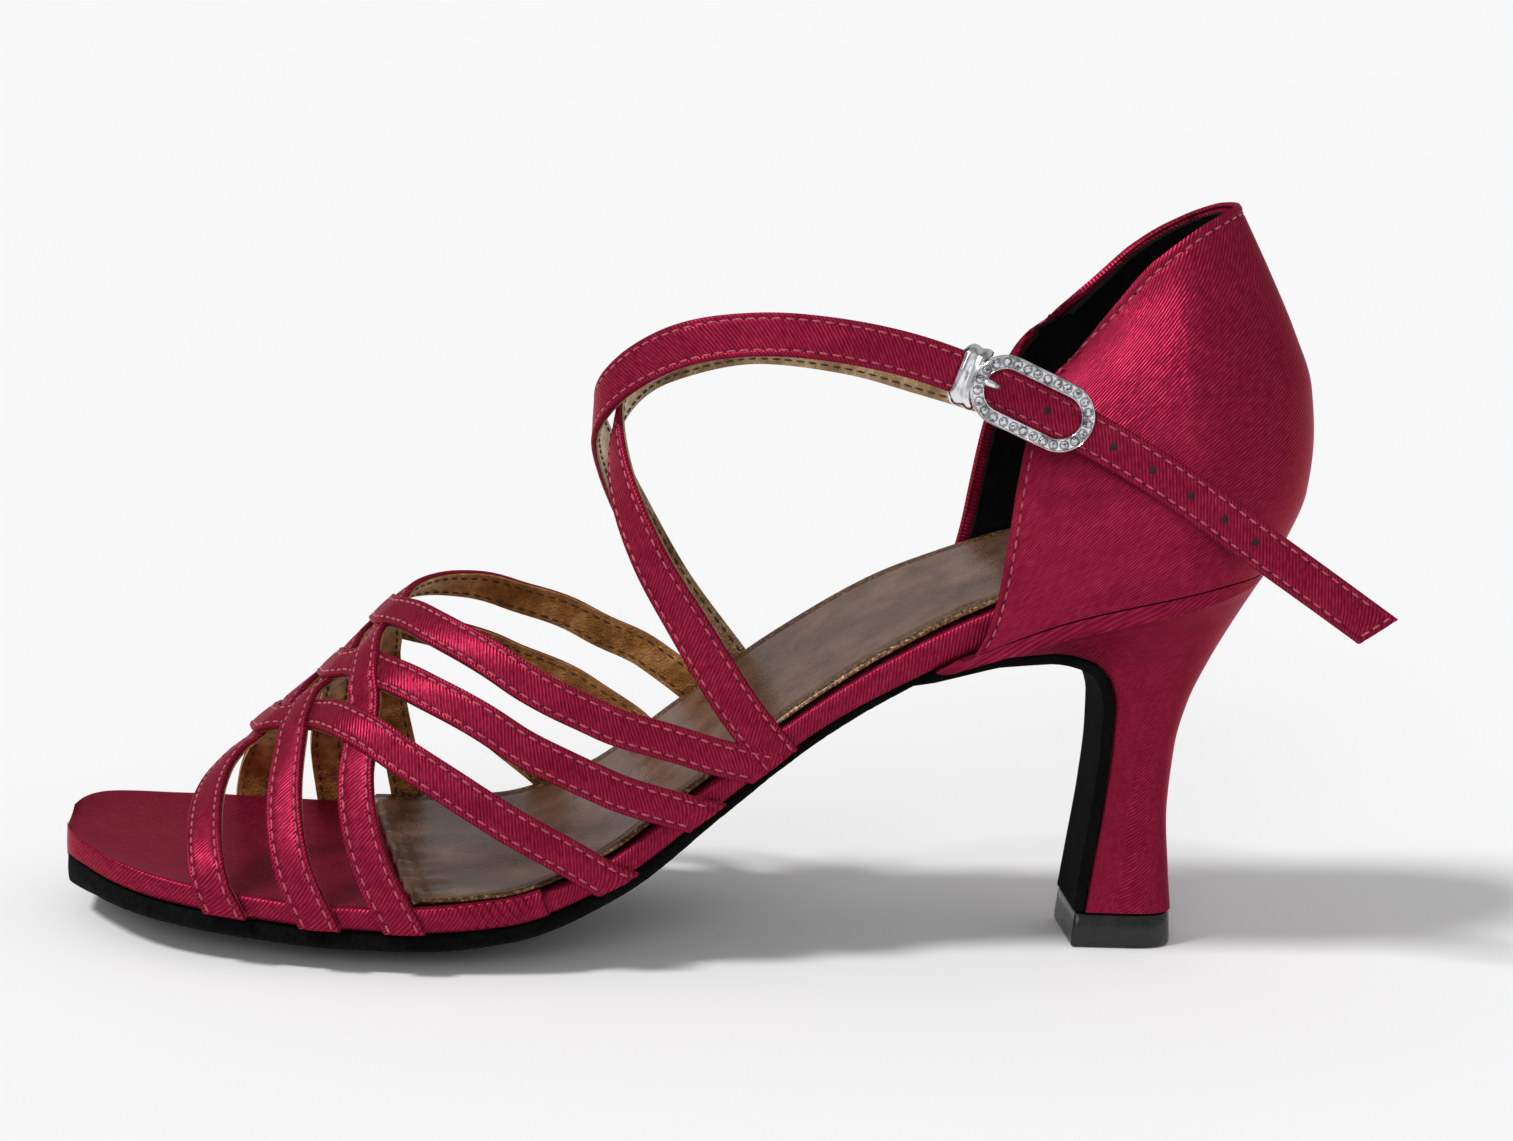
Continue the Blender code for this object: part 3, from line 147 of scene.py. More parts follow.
# Meshes

def finishPiece(name, bm, finish, smooth=True, sharpAngle=45):
    bmesh.ops.recalc_face_normals(bm, faces=bm.faces)
    mesh = bpy.data.meshes.new(name)
    bm.to_mesh(mesh)
    bm.free()
    if smooth:
        mesh.shade_smooth()
        mesh.set_sharp_from_angle(angle=radians(sharpAngle))
    else:
        mesh.shade_flat()
    piece = bpy.data.objects.new(name, mesh)
    bpy.context.scene.collection.objects.link(piece)
    mesh.materials.append(finish)
    return piece


def weld(bm):
    bmesh.ops.remove_doubles(bm, verts=bm.verts, dist=1e-7)


def sheetFrom(loops, closed=False, ends=True):   # a grid laid through rows of points, its UV map in metres
    rows = [list(loop) + ([loop[0]] if closed else []) for loop in loops]
    high, wide = len(rows) - 1, len(rows[0]) - 1
    gaps = [np.linalg.norm(np.diff(np.array(rows), axis=k), axis=2).mean(1 - k) for k in (0, 1)]
    runU, runV = [np.concatenate([[0], np.cumsum(gap)]) for gap in gaps]
    bm = bmesh.new()
    uv = bm.loops.layers.uv.new("UVMap")
    bmesh.ops.create_grid(bm, x_segments=high, y_segments=wide, size=0.5)
    spots = {vert: (round((vert.co.x + 0.5) * high), round((vert.co.y + 0.5) * wide)) for vert in bm.verts}
    for face in bm.faces:
        for loop in face.loops:
            i, k = spots[loop.vert]
            loop[uv].uv = (runU[i], runV[k])
    for vert, (i, k) in spots.items():
        vert.co = Vector(rows[i][k])
    if closed:
        weld(bm)
        if ends:
            bmesh.ops.holes_fill(bm, edges=[e for e in bm.edges if e.is_boundary], sides=0)
    return bm


def ridesOn(piece, node, takesPlace=True):
    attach(piece, "root")
    if takesPlace:
        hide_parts(node)
    return piece


# Footbed, heel cup and arch forms, as in the frame

soleShape = {                   # shares, toe to heel
    "along": (0, 0.004, 0.011, 0.023, 0.046, 0.079, 0.115, 0.165, 0.232, 0.291, 0.368, 0.445, 0.526,
              0.607, 0.689, 0.752, 0.820, 0.897, 0.937, 0.965, 0.987, 0.997, 1),
    "spring": (1, 0.97, 0.91, 0.80, 0.63, 0.44, 0.29, 0.13) + (0,) * 15,
    "rise": (0,) * 10 + (0.027, 0.131, 0.339, 0.546, 0.717, 0.816, 0.894, 0.950, 0.976, 0.989, 0.996,
                         0.999, 1),
    "lateral": (0.05, 0.18, 0.28, 0.385, 0.56, 0.72, 0.825, 0.905, 0.975, 1, 0.965, 0.865, 0.745, 0.665,
                0.616, 0.58, 0.593, 0.60, 0.575, 0.485, 0.33, 0.17, 0.04),
    "medial": (0.27, 0.42, 0.53, 0.64, 0.74, 0.82, 0.885, 0.94, 0.99, 1, 0.94, 0.815, 0.705, 0.64,
               0.615, 0.58, 0.593, 0.60, 0.575, 0.485, 0.33, 0.17, 0.04),
    "dish": (0.5, 0.5, 0.6, 0.7, 0.8, 0.9, 1, 1, 1, 1, 0.8, 0.6, 0.3, 0.2, 0.1) + (0,) * 8,
    "thin": (1,) * 14 + (0.3,) + (0,) * 8,
    "lift": (0,) * 10 + (0.1, 0.4, 0.8, 1, 1, 0.8, 0.5, 0.2, 0.1, 0, 0, 0, 0),
    "under": (0.97, 0.97, 0.97, 0.98, 0.98, 0.985, 0.985, 0.985, 0.985, 0.985, 0.98, 0.96, 0.93,
              0.88) + (0.85,) * 9,
}
soleCurve = curvesOf(soleShape)


def edgeShare(v):
    return max(0.0, (abs(v) - 0.35) / 0.65) ** 2


def bedHeight(along):
    rise = soleCurve["rise"](along) * (sole["seatHeight"] - sole["stack"])
    return sole["stack"] + soleCurve["spring"](along) * sole["toeSpring"] + rise


def bedSlope(along):
    low, high = max(0.0, along - 0.002), min(1.0, along + 0.002)
    return (bedHeight(high) - bedHeight(low)) / ((high - low) * sole["length"])


def halfWidth(along, v):
    return sole["halfBall"] * soleCurve["lateral" if v < 0 else "medial"](along)


def bedPoint(along, v, depth):
    rise = soleCurve["lift"](along) * sole["archLift"] * v / 2
    rise += soleCurve["dish"](along) * sole["dish"] * edgeShare(v)
    down = unit(np.array([max(0.0, bedSlope(along)), 0.0, -1.0]))
    spot = np.array([sole["toeX"] + along * sole["length"], v * halfWidth(along, v), bedHeight(along) + rise])
    return spot + down * depth


def platformDepth(along, v):
    return sole["thick"] * (1 - sole["edgeThinning"] * soleCurve["thin"](along) * edgeShare(v))


seatAlong = np.linspace(0.45, 1.0, 120)
seatSpots = np.array([bedPoint(along, 0.0, sole["thick"]) for along in seatAlong])


def seatHeight(x, y):
    along = np.interp(x, seatSpots[:, 0], seatAlong)
    v = min(max(y / halfWidth(along, y), -1.0), 1.0)
    tilt = soleCurve["lift"](along) * sole["archLift"] * v / 2
    return np.interp(x, seatSpots[:, 0], seatSpots[:, 2]) + tilt


wall = 0.0022
cupEase = 0.0009                # room between the footbed and the cup, besides the gap
cupHalf = halfWidth(0.897, 1.0) + wall + sole["gap"] + cupEase
cupBack = sole["toeX"] + sole["length"] + wall + sole["gap"] + cupEase
seatWidth = 2 * cupHalf
cupShape = {                    # seat to collar, in equal steps
    "level": tuple(i / 7 for i in range(8)),
    "upBack": (0, 0.093, 0.219, 0.344, 0.507, 0.654, 0.817, 1),
    "upSide": (0, 0.103, 0.244, 0.394, 0.560, 0.743, 0.900, 1),
    "upFront": (0, 0.086, 0.224, 0.397, 0.586, 0.784, 0.928, 1),
    "back": (0.446, 0.513, 0.569, 0.580, 0.557, 0.483, 0.377, 0.247),
    "sideX": (0, 0.010, 0.029, 0.038, 0.040, 0.024, -0.015, -0.096),
    "side": (0.500, 0.514, 0.516, 0.497, 0.451, 0.373, 0.287, 0.220),
    "front": (-0.674, -0.632, -0.600, -0.577, -0.552, -0.510, -0.445, -0.357),
    "frontY": (0.479, 0.481, 0.474, 0.457, 0.420, 0.369, 0.310, 0.276),
}
cupCurve = curvesOf(cupShape)
collar = {"back": 0.0677, "side": 0.0602, "front": 0.0545, "dip": 0.0008}


@lru_cache(maxsize=None)
def cupPoint(level, q, side):   # q: 0 at the back, 0.5 at mid side, 1 at the front edge
    turn = min(q, 0.5) * pi
    towardSide = (1 - cos(turn)) ** 1.3 if q < 0.5 else 1.0
    towardFront = max(0.0, (q - 0.5) / 0.5)

    def mix(back, middle, front):
        return back + (middle - back) * towardSide + (front - middle) * towardFront

    sideX, half = cupCurve["sideX"](level) * seatWidth, cupCurve["side"](level) * seatWidth
    back, front = cupCurve["back"](level) * seatWidth, cupCurve["front"](level) * seatWidth
    if q < 0.5:
        x, y = sideX + (back - sideX) * cos(turn), half * sin(turn)
    else:
        x = sideX + (front - sideX) * towardFront
        y = half + (cupCurve["frontY"](level) * seatWidth - half) * towardFront ** 1.6
    footX, footY = (x, y) if level == 0 else cupPoint(0.0, q, side)[[0, 1]] * (1, side)
    rise = mix(collar["back"], collar["side"], collar["front"])
    rise -= collar["dip"] * sin(pi * towardFront) ** 2
    up = mix(cupCurve["upBack"](level), cupCurve["upSide"](level), cupCurve["upFront"](level))
    return np.array([x, side * y, seatHeight(footX, side * footY) + rise * up])


archShape = {
    "along": (0.075, 0.122, 0.160, 0.196, 0.233, 0.264, 0.309, 0.368, 0.436, 0.504, 0.571),
    "height": (0.130, 0.232, 0.343, 0.450, 0.571, 0.686, 0.794, 0.895, 0.968, 0.970, 0.900),
}
archCurve = curvesOf(archShape)
arch = {"footHeight": 0.0702, "clear": 0.0011, "start": 0.0006, "ridgeShift": 0.0030, "square": 2.4,
        "skirt": 0.025}


def archPoint(along, around):   # around: -1 outer edge, 0 ridge, 1 inner edge
    def spot(a, t):
        side = -1.0 if t < 0 else 1.0
        start = bedPoint(a, side, 0.0)[2] + arch["start"]
        angle = pi / 2 * (1 - min(abs(t), 1.0))
        half = halfWidth(a, side) + arch["clear"]
        y = side * half * cos(angle) ** (2 / arch["square"]) + arch["ridgeShift"] * sin(angle)
        top = bedHeight(a) + archCurve["height"](a) * arch["footHeight"]
        drop = max(0.0, abs(t) - 1.0) * max(arch["skirt"], (top - start) * pi / 2)
        return np.array([sole["toeX"] + a * sole["length"], y, start + (top - start) * sin(angle) - drop])

    here = spot(along, around)
    runAlong = spot(along + 0.004, around) - spot(along - 0.004, around)
    runAround = spot(along, around + 0.004) - spot(along, around - 0.004)
    normal = unit(np.cross(runAlong, runAround))
    middle = np.array([here[0], 0.0, bedHeight(along)])
    return here, normal if normal @ (here - middle) > 0 else -normal


endEase = 0.0001                # air between a strap's end and the sole
evenOver = 0.004                # a push is evened out over this length


def besideSole(points, normals, width, thick):   # pushes a strap's ends clear of the platform's side
    points = np.array(points)
    pushes = []
    for point, _, w, n in strapFrames(points, normals):
        inner = point - n * thick / 2
        side = 1.0 if point[1] > 0 else -1.0
        push = 0.0
        for corner in (inner - w * width / 2, inner, inner + w * width / 2):
            along = (corner[0] - sole["toeX"]) / sole["length"]
            below = bedPoint(along, side, 0.0)[2] - corner[2]
            slope = bedSlope(along)
            along -= max(0.0, below) * slope / (1 + slope * slope) / sole["length"]
            if below > -width / 2:
                push = max(push, halfWidth(along, side) + sole["gap"] + endEase - abs(corner[1]))
        pushes.append(push)
    reach = max(1, round(evenOver / np.linalg.norm(points[1] - points[0])))
    padded = np.pad(pushes, 2 * reach, mode="edge")
    highest = [max(padded[i:i + 2 * reach + 1]) for i in range(len(points) + 2 * reach)]
    even = [sum(highest[i:i + 2 * reach + 1]) / (2 * reach + 1) for i in range(len(points))]
    points[:, 1] += np.where(points[:, 1] > 0, 1.0, -1.0) * even
    return strapFrames(points, normals)


# Shader maths

class Value:                    # a socket that can be used in Python expressions
    def __init__(self, tree, socket):
        self.tree, self.socket = tree, socket

    def math(self, operation, other):
        return self.tree.node("ShaderNodeMath", {"operation": operation}, {0: self, 1: other}, 0)

    def __add__(self, other):
        return self.math("ADD", other)

    def __mul__(self, other):
        return self.math("MULTIPLY", other)

    __radd__ = __add__
    __rmul__ = __mul__


class Finish:                   # one procedural material
    def __init__(self, name, **fixed):
        self.material = bpy.data.materials.new(name)
        self.material.use_nodes = True
        self.nodes = self.material.node_tree.nodes
        self.shader = self.nodes["Principled BSDF"]
        for socketName, value in fixed.items():
            self.shader.inputs[socketName.replace("_", " ")].default_value = value

    def node(self, kind, settings=None, inputs=None, output=None):
        made = self.nodes.new(kind)
        for key, value in (settings or {}).items():
            if key == "stops":
                while len(made.color_ramp.elements) > 1:
                    made.color_ramp.elements.remove(made.color_ramp.elements[0])
                for index, (place, colour) in enumerate(value):
                    stop = made.color_ramp.elements[0] if index == 0 else made.color_ramp.elements.new(place)
                    stop.position = place
                    stop.color = (*colour, 1.0)
            else:
                setattr(made, key, value)
        for key, value in (inputs or {}).items():
            if isinstance(value, Value):
                self.material.node_tree.links.new(value.socket, made.inputs[key])
            else:
                made.inputs[key].default_value = value
        return made if output is None else Value(self, made.outputs[output])

    def uv(self):
        return self.node("ShaderNodeTexCoord", output="UV")

    def place(self):
        return self.node("ShaderNodeTexCoord", output="Object")

    def mapped(self, vector, scale=(1, 1, 1), turn=(0, 0, 0)):
        return self.node("ShaderNodeMapping", None, {"Vector": vector, "Scale": scale, "Rotation": turn},
                         "Vector")

    def noise(self, vector, scale, detail=2.0, rough=0.5):
        return self.node("ShaderNodeTexNoise", None, {"Vector": vector, "Scale": scale, "Detail": detail,
                                                      "Roughness": rough}, 0)

    def waves(self, vector, scale, distortion):
        return self.node("ShaderNodeTexWave", None, {"Vector": vector, "Scale": scale,
                                                     "Distortion": distortion}, "Fac")

    def cells(self, vector):    # distance to the edge of leather's grain cells
        return self.node("ShaderNodeTexVoronoi", {"feature": "DISTANCE_TO_EDGE"},
                         {"Vector": vector, "Scale": 1300.0}, "Distance")

    def fade(self, value, low, high):
        return self.node("ShaderNodeMapRange", {"interpolation_type": "SMOOTHSTEP"},
                         {"Value": value, 1: low, 2: high}, 0)

    def ramp(self, factor, stops):
        return self.node("ShaderNodeValToRGB", {"stops": stops}, {"Fac": factor}, "Color")

    def mix(self, factor, one, two, blend="MIX"):
        made = self.node("ShaderNodeMix", {"data_type": "RGBA", "blend_type": blend})
        for index, value in ((0, factor), (6, one), (7, two)):
            if isinstance(value, Value):
                self.material.node_tree.links.new(value.socket, made.inputs[index])
            elif index == 0:
                made.inputs[0].default_value = value
            else:
                made.inputs[index].default_value = (*value, 1.0)
        return Value(self, made.outputs[2])

    def split(self, vector):
        made = self.node("ShaderNodeSeparateXYZ", None, {0: vector})
        return [Value(self, made.outputs[i]) for i in range(3)]

    def wear(self, **links):    # sets what changes over the surface
        for socketName, value in links.items():
            self.material.node_tree.links.new(value.socket, self.shader.inputs[socketName.replace("_", " ")])
        return self

    def bump(self, height, distance, strength=1.0):
        normal = self.node("ShaderNodeBump", None, {"Height": height, "Distance": distance,
                                                    "Strength": strength}, "Normal")
        return self.wear(Normal=normal)


satinColours = {"deep": (0.085, 0.0015, 0.012), "mid": (0.222, 0.0090, 0.032),
                "light": (0.46, 0.040, 0.086)}


def satin(name, spread, folds=None):   # a larger spread gives calmer tones
    made = Finish(name, Metallic=0.60, Sheen_Weight=0.03, Sheen_Roughness=0.30,
                  Sheen_Tint=(1.0, 0.30, 0.42, 1.0), Specular_IOR_Level=0.10,
                  Specular_Tint=(1.0, 0.22, 0.36, 1.0))
    base = made.uv()
    bias = made.mapped(base, turn=(0, 0, 0.6))
    twill = made.waves(bias, 500.0, 0.6)
    slub = made.noise(made.mapped(bias, scale=(2800, 600, 2800)), 1.0, 2.0)
    cloud = made.noise(base, 170.0, 4.0, 0.6)
    tone = twill * 0.20 + slub * 0.50 + cloud * 0.22
    made.wear(Base_Color=made.ramp(tone, [(0.47 + spread * step, satinColours[shade])
                                          for step, shade in ((-1, "deep"), (0, "mid"), (1, "light"))]))
    made.wear(Roughness=0.28 + slub * 0.16)
    height = twill * 0.45 + slub * 0.50 + cloud * 0.7
    if folds is not None:
        height = height + folds(made)
    return made.bump(height, 0.00014, 0.85)


def suede(name, colour, nap):
    made = Finish(name, Roughness=0.95, Sheen_Weight=0.01, Sheen_Roughness=0.6, Specular_IOR_Level=0.03)
    place = made.place()
    grain = made.noise(place, 900.0, 4.0, 0.7)
    patch = made.noise(place, 90.0, 3.0)
    tone = grain * 0.6 + patch * 0.5
    made.wear(Base_Color=made.ramp(tone, [(0.35, colour), (0.75, nap)]))
    return made.bump(grain + patch * 0.6, 0.00045)


def leather(name, dark, mid, light, useUv, rough=0.34, metallic=0.65):
    made = Finish(name, Roughness=rough, Metallic=metallic, Specular_IOR_Level=0.5)
    place = made.uv() if useUv else made.place()
    cells = made.cells(place)
    patch = made.noise(place, 140.0, 4.0)
    creases = made.noise(made.mapped(place, scale=(500, 420, 450)), 1.0, 4.0)
    made.wear(Base_Color=made.ramp(patch * 0.7 + creases * 0.4, [(0.30, dark), (0.55, mid), (0.8, light)]))
    made.wear(Roughness=rough - 0.12 + patch * 0.3)
    return made.bump(cells * 0.8 + creases * 1.2 + patch, 0.00022, 0.8)


def metal(name, colour, rough):
    made = Finish(name, Roughness=rough, Metallic=1.0)
    marks = made.noise(made.mapped(made.place(), scale=(420, 900, 300)), 1.0, 2.0)
    made.wear(Base_Color=made.ramp(marks, [(0.36, tuple(c * 0.35 for c in colour)),
                                           (0.48, tuple(c * 0.85 for c in colour)), (0.6, colour)]),
              Roughness=marks * rough * 0.8 + rough * 0.6)
    return made.bump(marks, 0.00004, 0.4)


def threadFinish():
    made = Finish("coralThread", Roughness=0.55, Sheen_Weight=0.3)
    strands = made.noise(made.place(), 1600.0, 2.0)
    made.wear(Base_Color=made.ramp(strands, [(0.3, (0.26, 0.020, 0.045)), (0.7, (0.52, 0.068, 0.100))]))
    return made.bump(strands, 0.0001)


# painted shade: near-black beads stand in for the shade inside needle holes and punched holes
def holeShadeFinish():
    made = Finish("needleHoleShade", Roughness=0.9)
    grain = made.noise(made.place(), 900.0)
    return made.wear(Base_Color=made.ramp(grain, [(0.3, (0.012, 0.0005, 0.004)),
                                                  (0.7, (0.035, 0.002, 0.010))]))


strapSatin = satin("strapSatin", 0.30).material
bodySatin = satin("bodySatin", 0.34).material
blackSuede = suede("blackSuede", (0.0012, 0.0010, 0.0012), (0.0075, 0.0070, 0.0078)).material
goldLining = leather("goldLining", (0.10, 0.038, 0.010), (0.42, 0.185, 0.048), (0.82, 0.52, 0.21),
                     True).material
paleLining = leather("paleLining", (0.10, 0.050, 0.020), (0.38, 0.235, 0.120), (0.74, 0.56, 0.36),
                     True).material
chrome = metal("chrome", (0.86, 0.86, 0.88), 0.10).material
bandMetal = metal("bandMetal", (0.36, 0.36, 0.38), 0.30).material
thread = threadFinish().material
needleHoleShade = holeShadeFinish().material
liningThread = leather("liningThread", (0.020, 0.010, 0.004), (0.045, 0.022, 0.010), (0.09, 0.05, 0.02),
                       False, rough=0.6, metallic=0.0).material
print("finishes ready")


# Stitches

stitchSize = {"pitch": 0.0024, "start": 0.0012, "thread": (0.0018, 0.00048, 0.00040), "rise": 0.00006,
              "hole": (0.00066, 0.00044, 0.00022), "holeRise": 0.00001, "look": 0.0005}
bm = bmesh.new()
bmesh.ops.create_uvsphere(bm, u_segments=6, v_segments=4, radius=0.5)
bead = bpy.data.meshes.new("bead")
bm.to_mesh(bead)
bm.free()


def addBead(bm, spot, axes, size):
    turn = Matrix([Vector(axis) for axis in axes]).transposed().to_4x4()
    copy = bead.copy()
    copy.transform(Matrix.Translation(spot) @ turn @ Matrix.Diagonal((*size, 1.0)))
    bm.from_mesh(copy)
    bpy.data.meshes.remove(copy)


def between(at, run, line):     # the value at one place along a run
    return np.array([np.interp(at, run, line[:, k]) for k in range(3)])


def stitchRow(threads, holes, points, normals, start=stitchSize["start"]):
    run = runOf(points)
    points, normals = np.array(points), np.array(normals)
    at = start
    while at < run[-1] - start:
        spot = between(at, run, points)
        out = unit(between(at, run, normals))
        along = unit(between(at + stitchSize["look"], run, points) - spot)
        across = unit(np.cross(out, along))
        axes = (along, across, np.cross(along, across))
        addBead(threads, spot + out * stitchSize["rise"], axes, stitchSize["thread"])
        if holes is not None:
            # each needle hole is a dark bead of painted shade
            middle = spot + along * stitchSize["pitch"] / 2 + out * stitchSize["holeRise"]
            addBead(holes, middle, axes, stitchSize["hole"])
        at += stitchSize["pitch"]


def rowsStart():                # new meshes for thread, needle holes and the lining's thread
    return {key: bmesh.new() for key in ("thread", "holes", "inside")}


def rowsDone(rows, label, node):
    for key, finish in (("thread", thread), ("holes", needleHoleShade), ("inside", liningThread)):
        if len(rows[key].verts):
            ridesOn(finishPiece(label + key.capitalize(), rows[key], finish), node, False)


# Straps

strapForm = {                   # the satin's folded edges, its stitched line and its crown
    "crown": 0.00022, "crownShare": 0.6, "dip": 0.00016, "dipWide": 0.00028, "stitchIn": 0.00115,
    "foldIn": 0.00055, "foldWide": 0.00035, "cornerDrop": 0.00022, "cornerIn": 0.0002, "lining": 0.00042,
    "tuck": 0.00006, "seam": 0.00004, "endReach": 0.011,
}


def strapHeight(v, width, thick):   # outside of a strap over its middle plane, v from -1 to 1
    edge = (1 - abs(v)) * width / 2
    crown = strapForm["crown"] * (1 - v * v)
    dip = strapForm["dip"] * exp(-((edge - strapForm["stitchIn"]) / strapForm["dipWide"]) ** 2)
    low = strapForm["crown"] * strapForm["crownShare"]
    fold = low * exp(-((edge - strapForm["foldIn"]) / strapForm["foldWide"]) ** 2)
    return thick / 2 - low + crown + fold - dip


def strapSection(width, thick, bottom):   # closed loop of (across, height)
    shares = [-0.985, -0.955, -0.91, -0.86, -0.80, -0.72, -0.64, -0.56, -0.45, -0.25, 0.0]
    shares = shares + [-s for s in shares[-2::-1]]
    drops = [strapForm["cornerDrop"] if abs(v) > 0.98 else 0 for v in shares]
    top = [(v * width / 2, strapHeight(v, width, thick) - drop) for v, drop in zip(shares, drops)]
    sides = [(width / 2, thick * 0.12), (width / 2, bottom + 0.00012)]
    inset = width / 2 - strapForm["cornerIn"]
    floor = [(inset, bottom), (0.0, bottom), (-inset, bottom)]
    return top + sides + floor + [(-x, z) for x, z in sides[::-1]]


def soleLine(x, side):          # height of the platform's lower edge
    along = min(1.0, max(0.0, (x - sole["toeX"]) / sole["length"]))
    low = bedPoint(along, side, platformDepth(along, side))
    slope = bedSlope(along)
    return low[2] + slope * (x - low[0])


def strapLine(arrays, x, z):    # one line of the section, all along the strap
    run, point, w, n = arrays
    return point + w * x + n * z


def endShares(arrays, section, atEnd):   # where each line of the section meets the sole
    run, reach = arrays[0], strapForm["endReach"]
    stops = []
    for x, z in section:
        line = strapLine(arrays, x, z)
        tries = np.linspace(0, reach, 60)
        tries = run[-1] - reach + tries if atEnd else reach - tries
        stop = run[-1] if atEnd else 0.0
        for s in tries:
            spot = between(s, run, line)
            if spot[2] < soleLine(spot[0], 1.0 if spot[1] > 0 else -1.0) + endEase:
                stop = s
                break
        stops.append(stop)
    return np.array(stops)


def strapLoops(arrays, section, trims, slant=0.0):
    run, reach = arrays[0], strapForm["endReach"]
    starts, ends = np.zeros(len(section)), np.full(len(section), run[-1])
    if trims[0]:
        starts = endShares(arrays, section, False)
    if trims[1]:
        ends = endShares(arrays, section, True)
    half = max(abs(x) for x, _ in section)
    lines = []
    for (x, z), first, last in zip(section, starts, ends):
        last = last - slant * (x / (2 * half) + 0.5)
        s = run.copy()
        near = s < reach
        s[near] = first + s[near] * (reach - first) / reach
        far = s > run[-1] - reach
        s[far] = run[-1] - reach + (s[far] - run[-1] + reach) * (last - run[-1] + reach) / reach
        lines.append(between(s, run, strapLine(arrays, x, z)).T)
    return np.stack(lines, 1)


def makeStrap(name, frames, width, thick, rows, trims=(True, True), stitches=True, slant=0.0,
              lining=goldLining):
    run = runOf([f[0] for f in frames])
    print(f"{name}: {run[-1] * 1000:.0f} mm long")
    arrays = (run, *[np.array([f[k] for f in frames]) for k in (0, 2, 3)])
    seam = -thick / 2 + strapForm["lining"]
    tucked = width / 2 - strapForm["tuck"]
    under = [(-width / 2, seam - strapForm["seam"]), (width / 2, seam - strapForm["seam"])]
    under += [(x, -thick / 2) for x in (tucked, width / 4, 0.0, -width / 4, -tucked)]
    parts = []
    for suffix, section, material in (("Satin", strapSection(width, thick, seam), strapSatin),
                                      ("Lining", under, lining)):
        bm = sheetFrom(strapLoops(arrays, section, trims, slant), closed=True)
        parts.append(finishPiece(name + suffix, bm, material))
    if stitches:
        for side in (-1, 1):
            offset = side * (width / 2 - strapForm["stitchIn"])
            outside = strapHeight(offset / (width / 2), width, thick)
            for key, height, turn in (("thread", outside, 1), ("inside", -thick / 2, -1)):
                line = strapLoops(arrays, [(offset, height)], trims)[:, 0]
                if slant:
                    line = line[:-3 if side < 0 else -6]
                holes = rows["holes"] if key == "thread" else None
                stitchRow(rows[key], holes, line, arrays[3][:len(line)] * turn)
    return parts


def joined(parts, name):
    bpy.ops.object.select_all(action="DESELECT")
    for part in parts:
        part.select_set(True)
    bpy.context.view_layer.objects.active = parts[0]
    bpy.ops.object.join()
    parts[0].name = name
    return parts[0]


vamp = {                        # routes as (share along the sole, share from the ridge to the edge)
    "width": 0.0068, "thick": 0.0014, "overlap": 0.0004, "ease": 0.00006, "flat": 0.0045, "slope": 0.0055,
    "stations": 90,
    "outerFront": [
        [(0.148, 1.22), (0.1350, 1.05), (0.1283, 0.886), (0.1241, 0.695), (0.1219, 0.487), (0.1232, 0.267),
         (0.1300, 0.110), (0.1420, 0.04), (0.1600, 0.00)],
        [(0.2255, 1.125), (0.2183, 1.068), (0.2060, 0.972), (0.1960, 0.858), (0.1900, 0.729), (0.1874, 0.589),
         (0.1878, 0.438), (0.1910, 0.276), (0.2010, 0.100), (0.2193, 0.00)],
        [(0.2965, 1.105), (0.2880, 1.053), (0.2713, 0.971), (0.2583, 0.880), (0.2495, 0.775), (0.2453, 0.659),
         (0.2458, 0.542), (0.2478, 0.423), (0.2500, 0.250), (0.2540, 0.09), (0.2630, 0.00)]],
    "innerRear": [
        [(0.1900, 0.130), (0.2174, 0.420), (0.2390, 0.530), (0.2928, 0.699), (0.3527, 0.840), (0.3993, 0.956),
         (0.4200, 1.015), (0.4420, 1.080)],
        [(0.2361, 0.150), (0.2561, 0.350), (0.3090, 0.537), (0.3635, 0.668), (0.4366, 0.835), (0.4846, 0.975),
         (0.5100, 1.080)],
        [(0.2749, 0.110), (0.2916, 0.218), (0.3200, 0.345), (0.3486, 0.440), (0.3769, 0.524), (0.4320, 0.673),
         (0.4840, 0.814), (0.5092, 0.898), (0.5350, 0.985), (0.5620, 1.080)]],
    "innerFront": [
        [(0.1471, 1.22), (0.1460, 1.040), (0.1490, 0.850), (0.1560, 0.664), (0.1615, 0.480), (0.1635, 0.220),
         (0.1660, 0.00)],
        [(0.2245, 1.125), (0.2172, 0.985), (0.2110, 0.795), (0.2125, 0.665), (0.2164, 0.515), (0.2190, 0.250),
         (0.2207, 0.00)],
        [(0.2945, 1.105), (0.2862, 1.005), (0.2755, 0.860), (0.2680, 0.753), (0.2621, 0.632), (0.2596, 0.443),
         (0.2605, 0.200), (0.2635, 0.00)]],
    "outerRear": [
        [(0.1840, 0.090), (0.2119, 0.269), (0.2461, 0.484), (0.2754, 0.617), (0.3337, 0.776), (0.3941, 0.903),
         (0.4255, 0.972), (0.4576, 1.045), (0.4850, 1.105)],
        [(0.2389, 0.137), (0.2612, 0.328), (0.2938, 0.470), (0.3560, 0.654), (0.4187, 0.805), (0.4520, 0.876),
         (0.4867, 0.953), (0.5227, 1.034), (0.5500, 1.095)],
        [(0.2765, 0.110), (0.3025, 0.284), (0.3377, 0.439), (0.4056, 0.654), (0.4808, 0.827), (0.5203, 0.919),
         (0.5605, 1.006), (0.6050, 1.105)]],
}


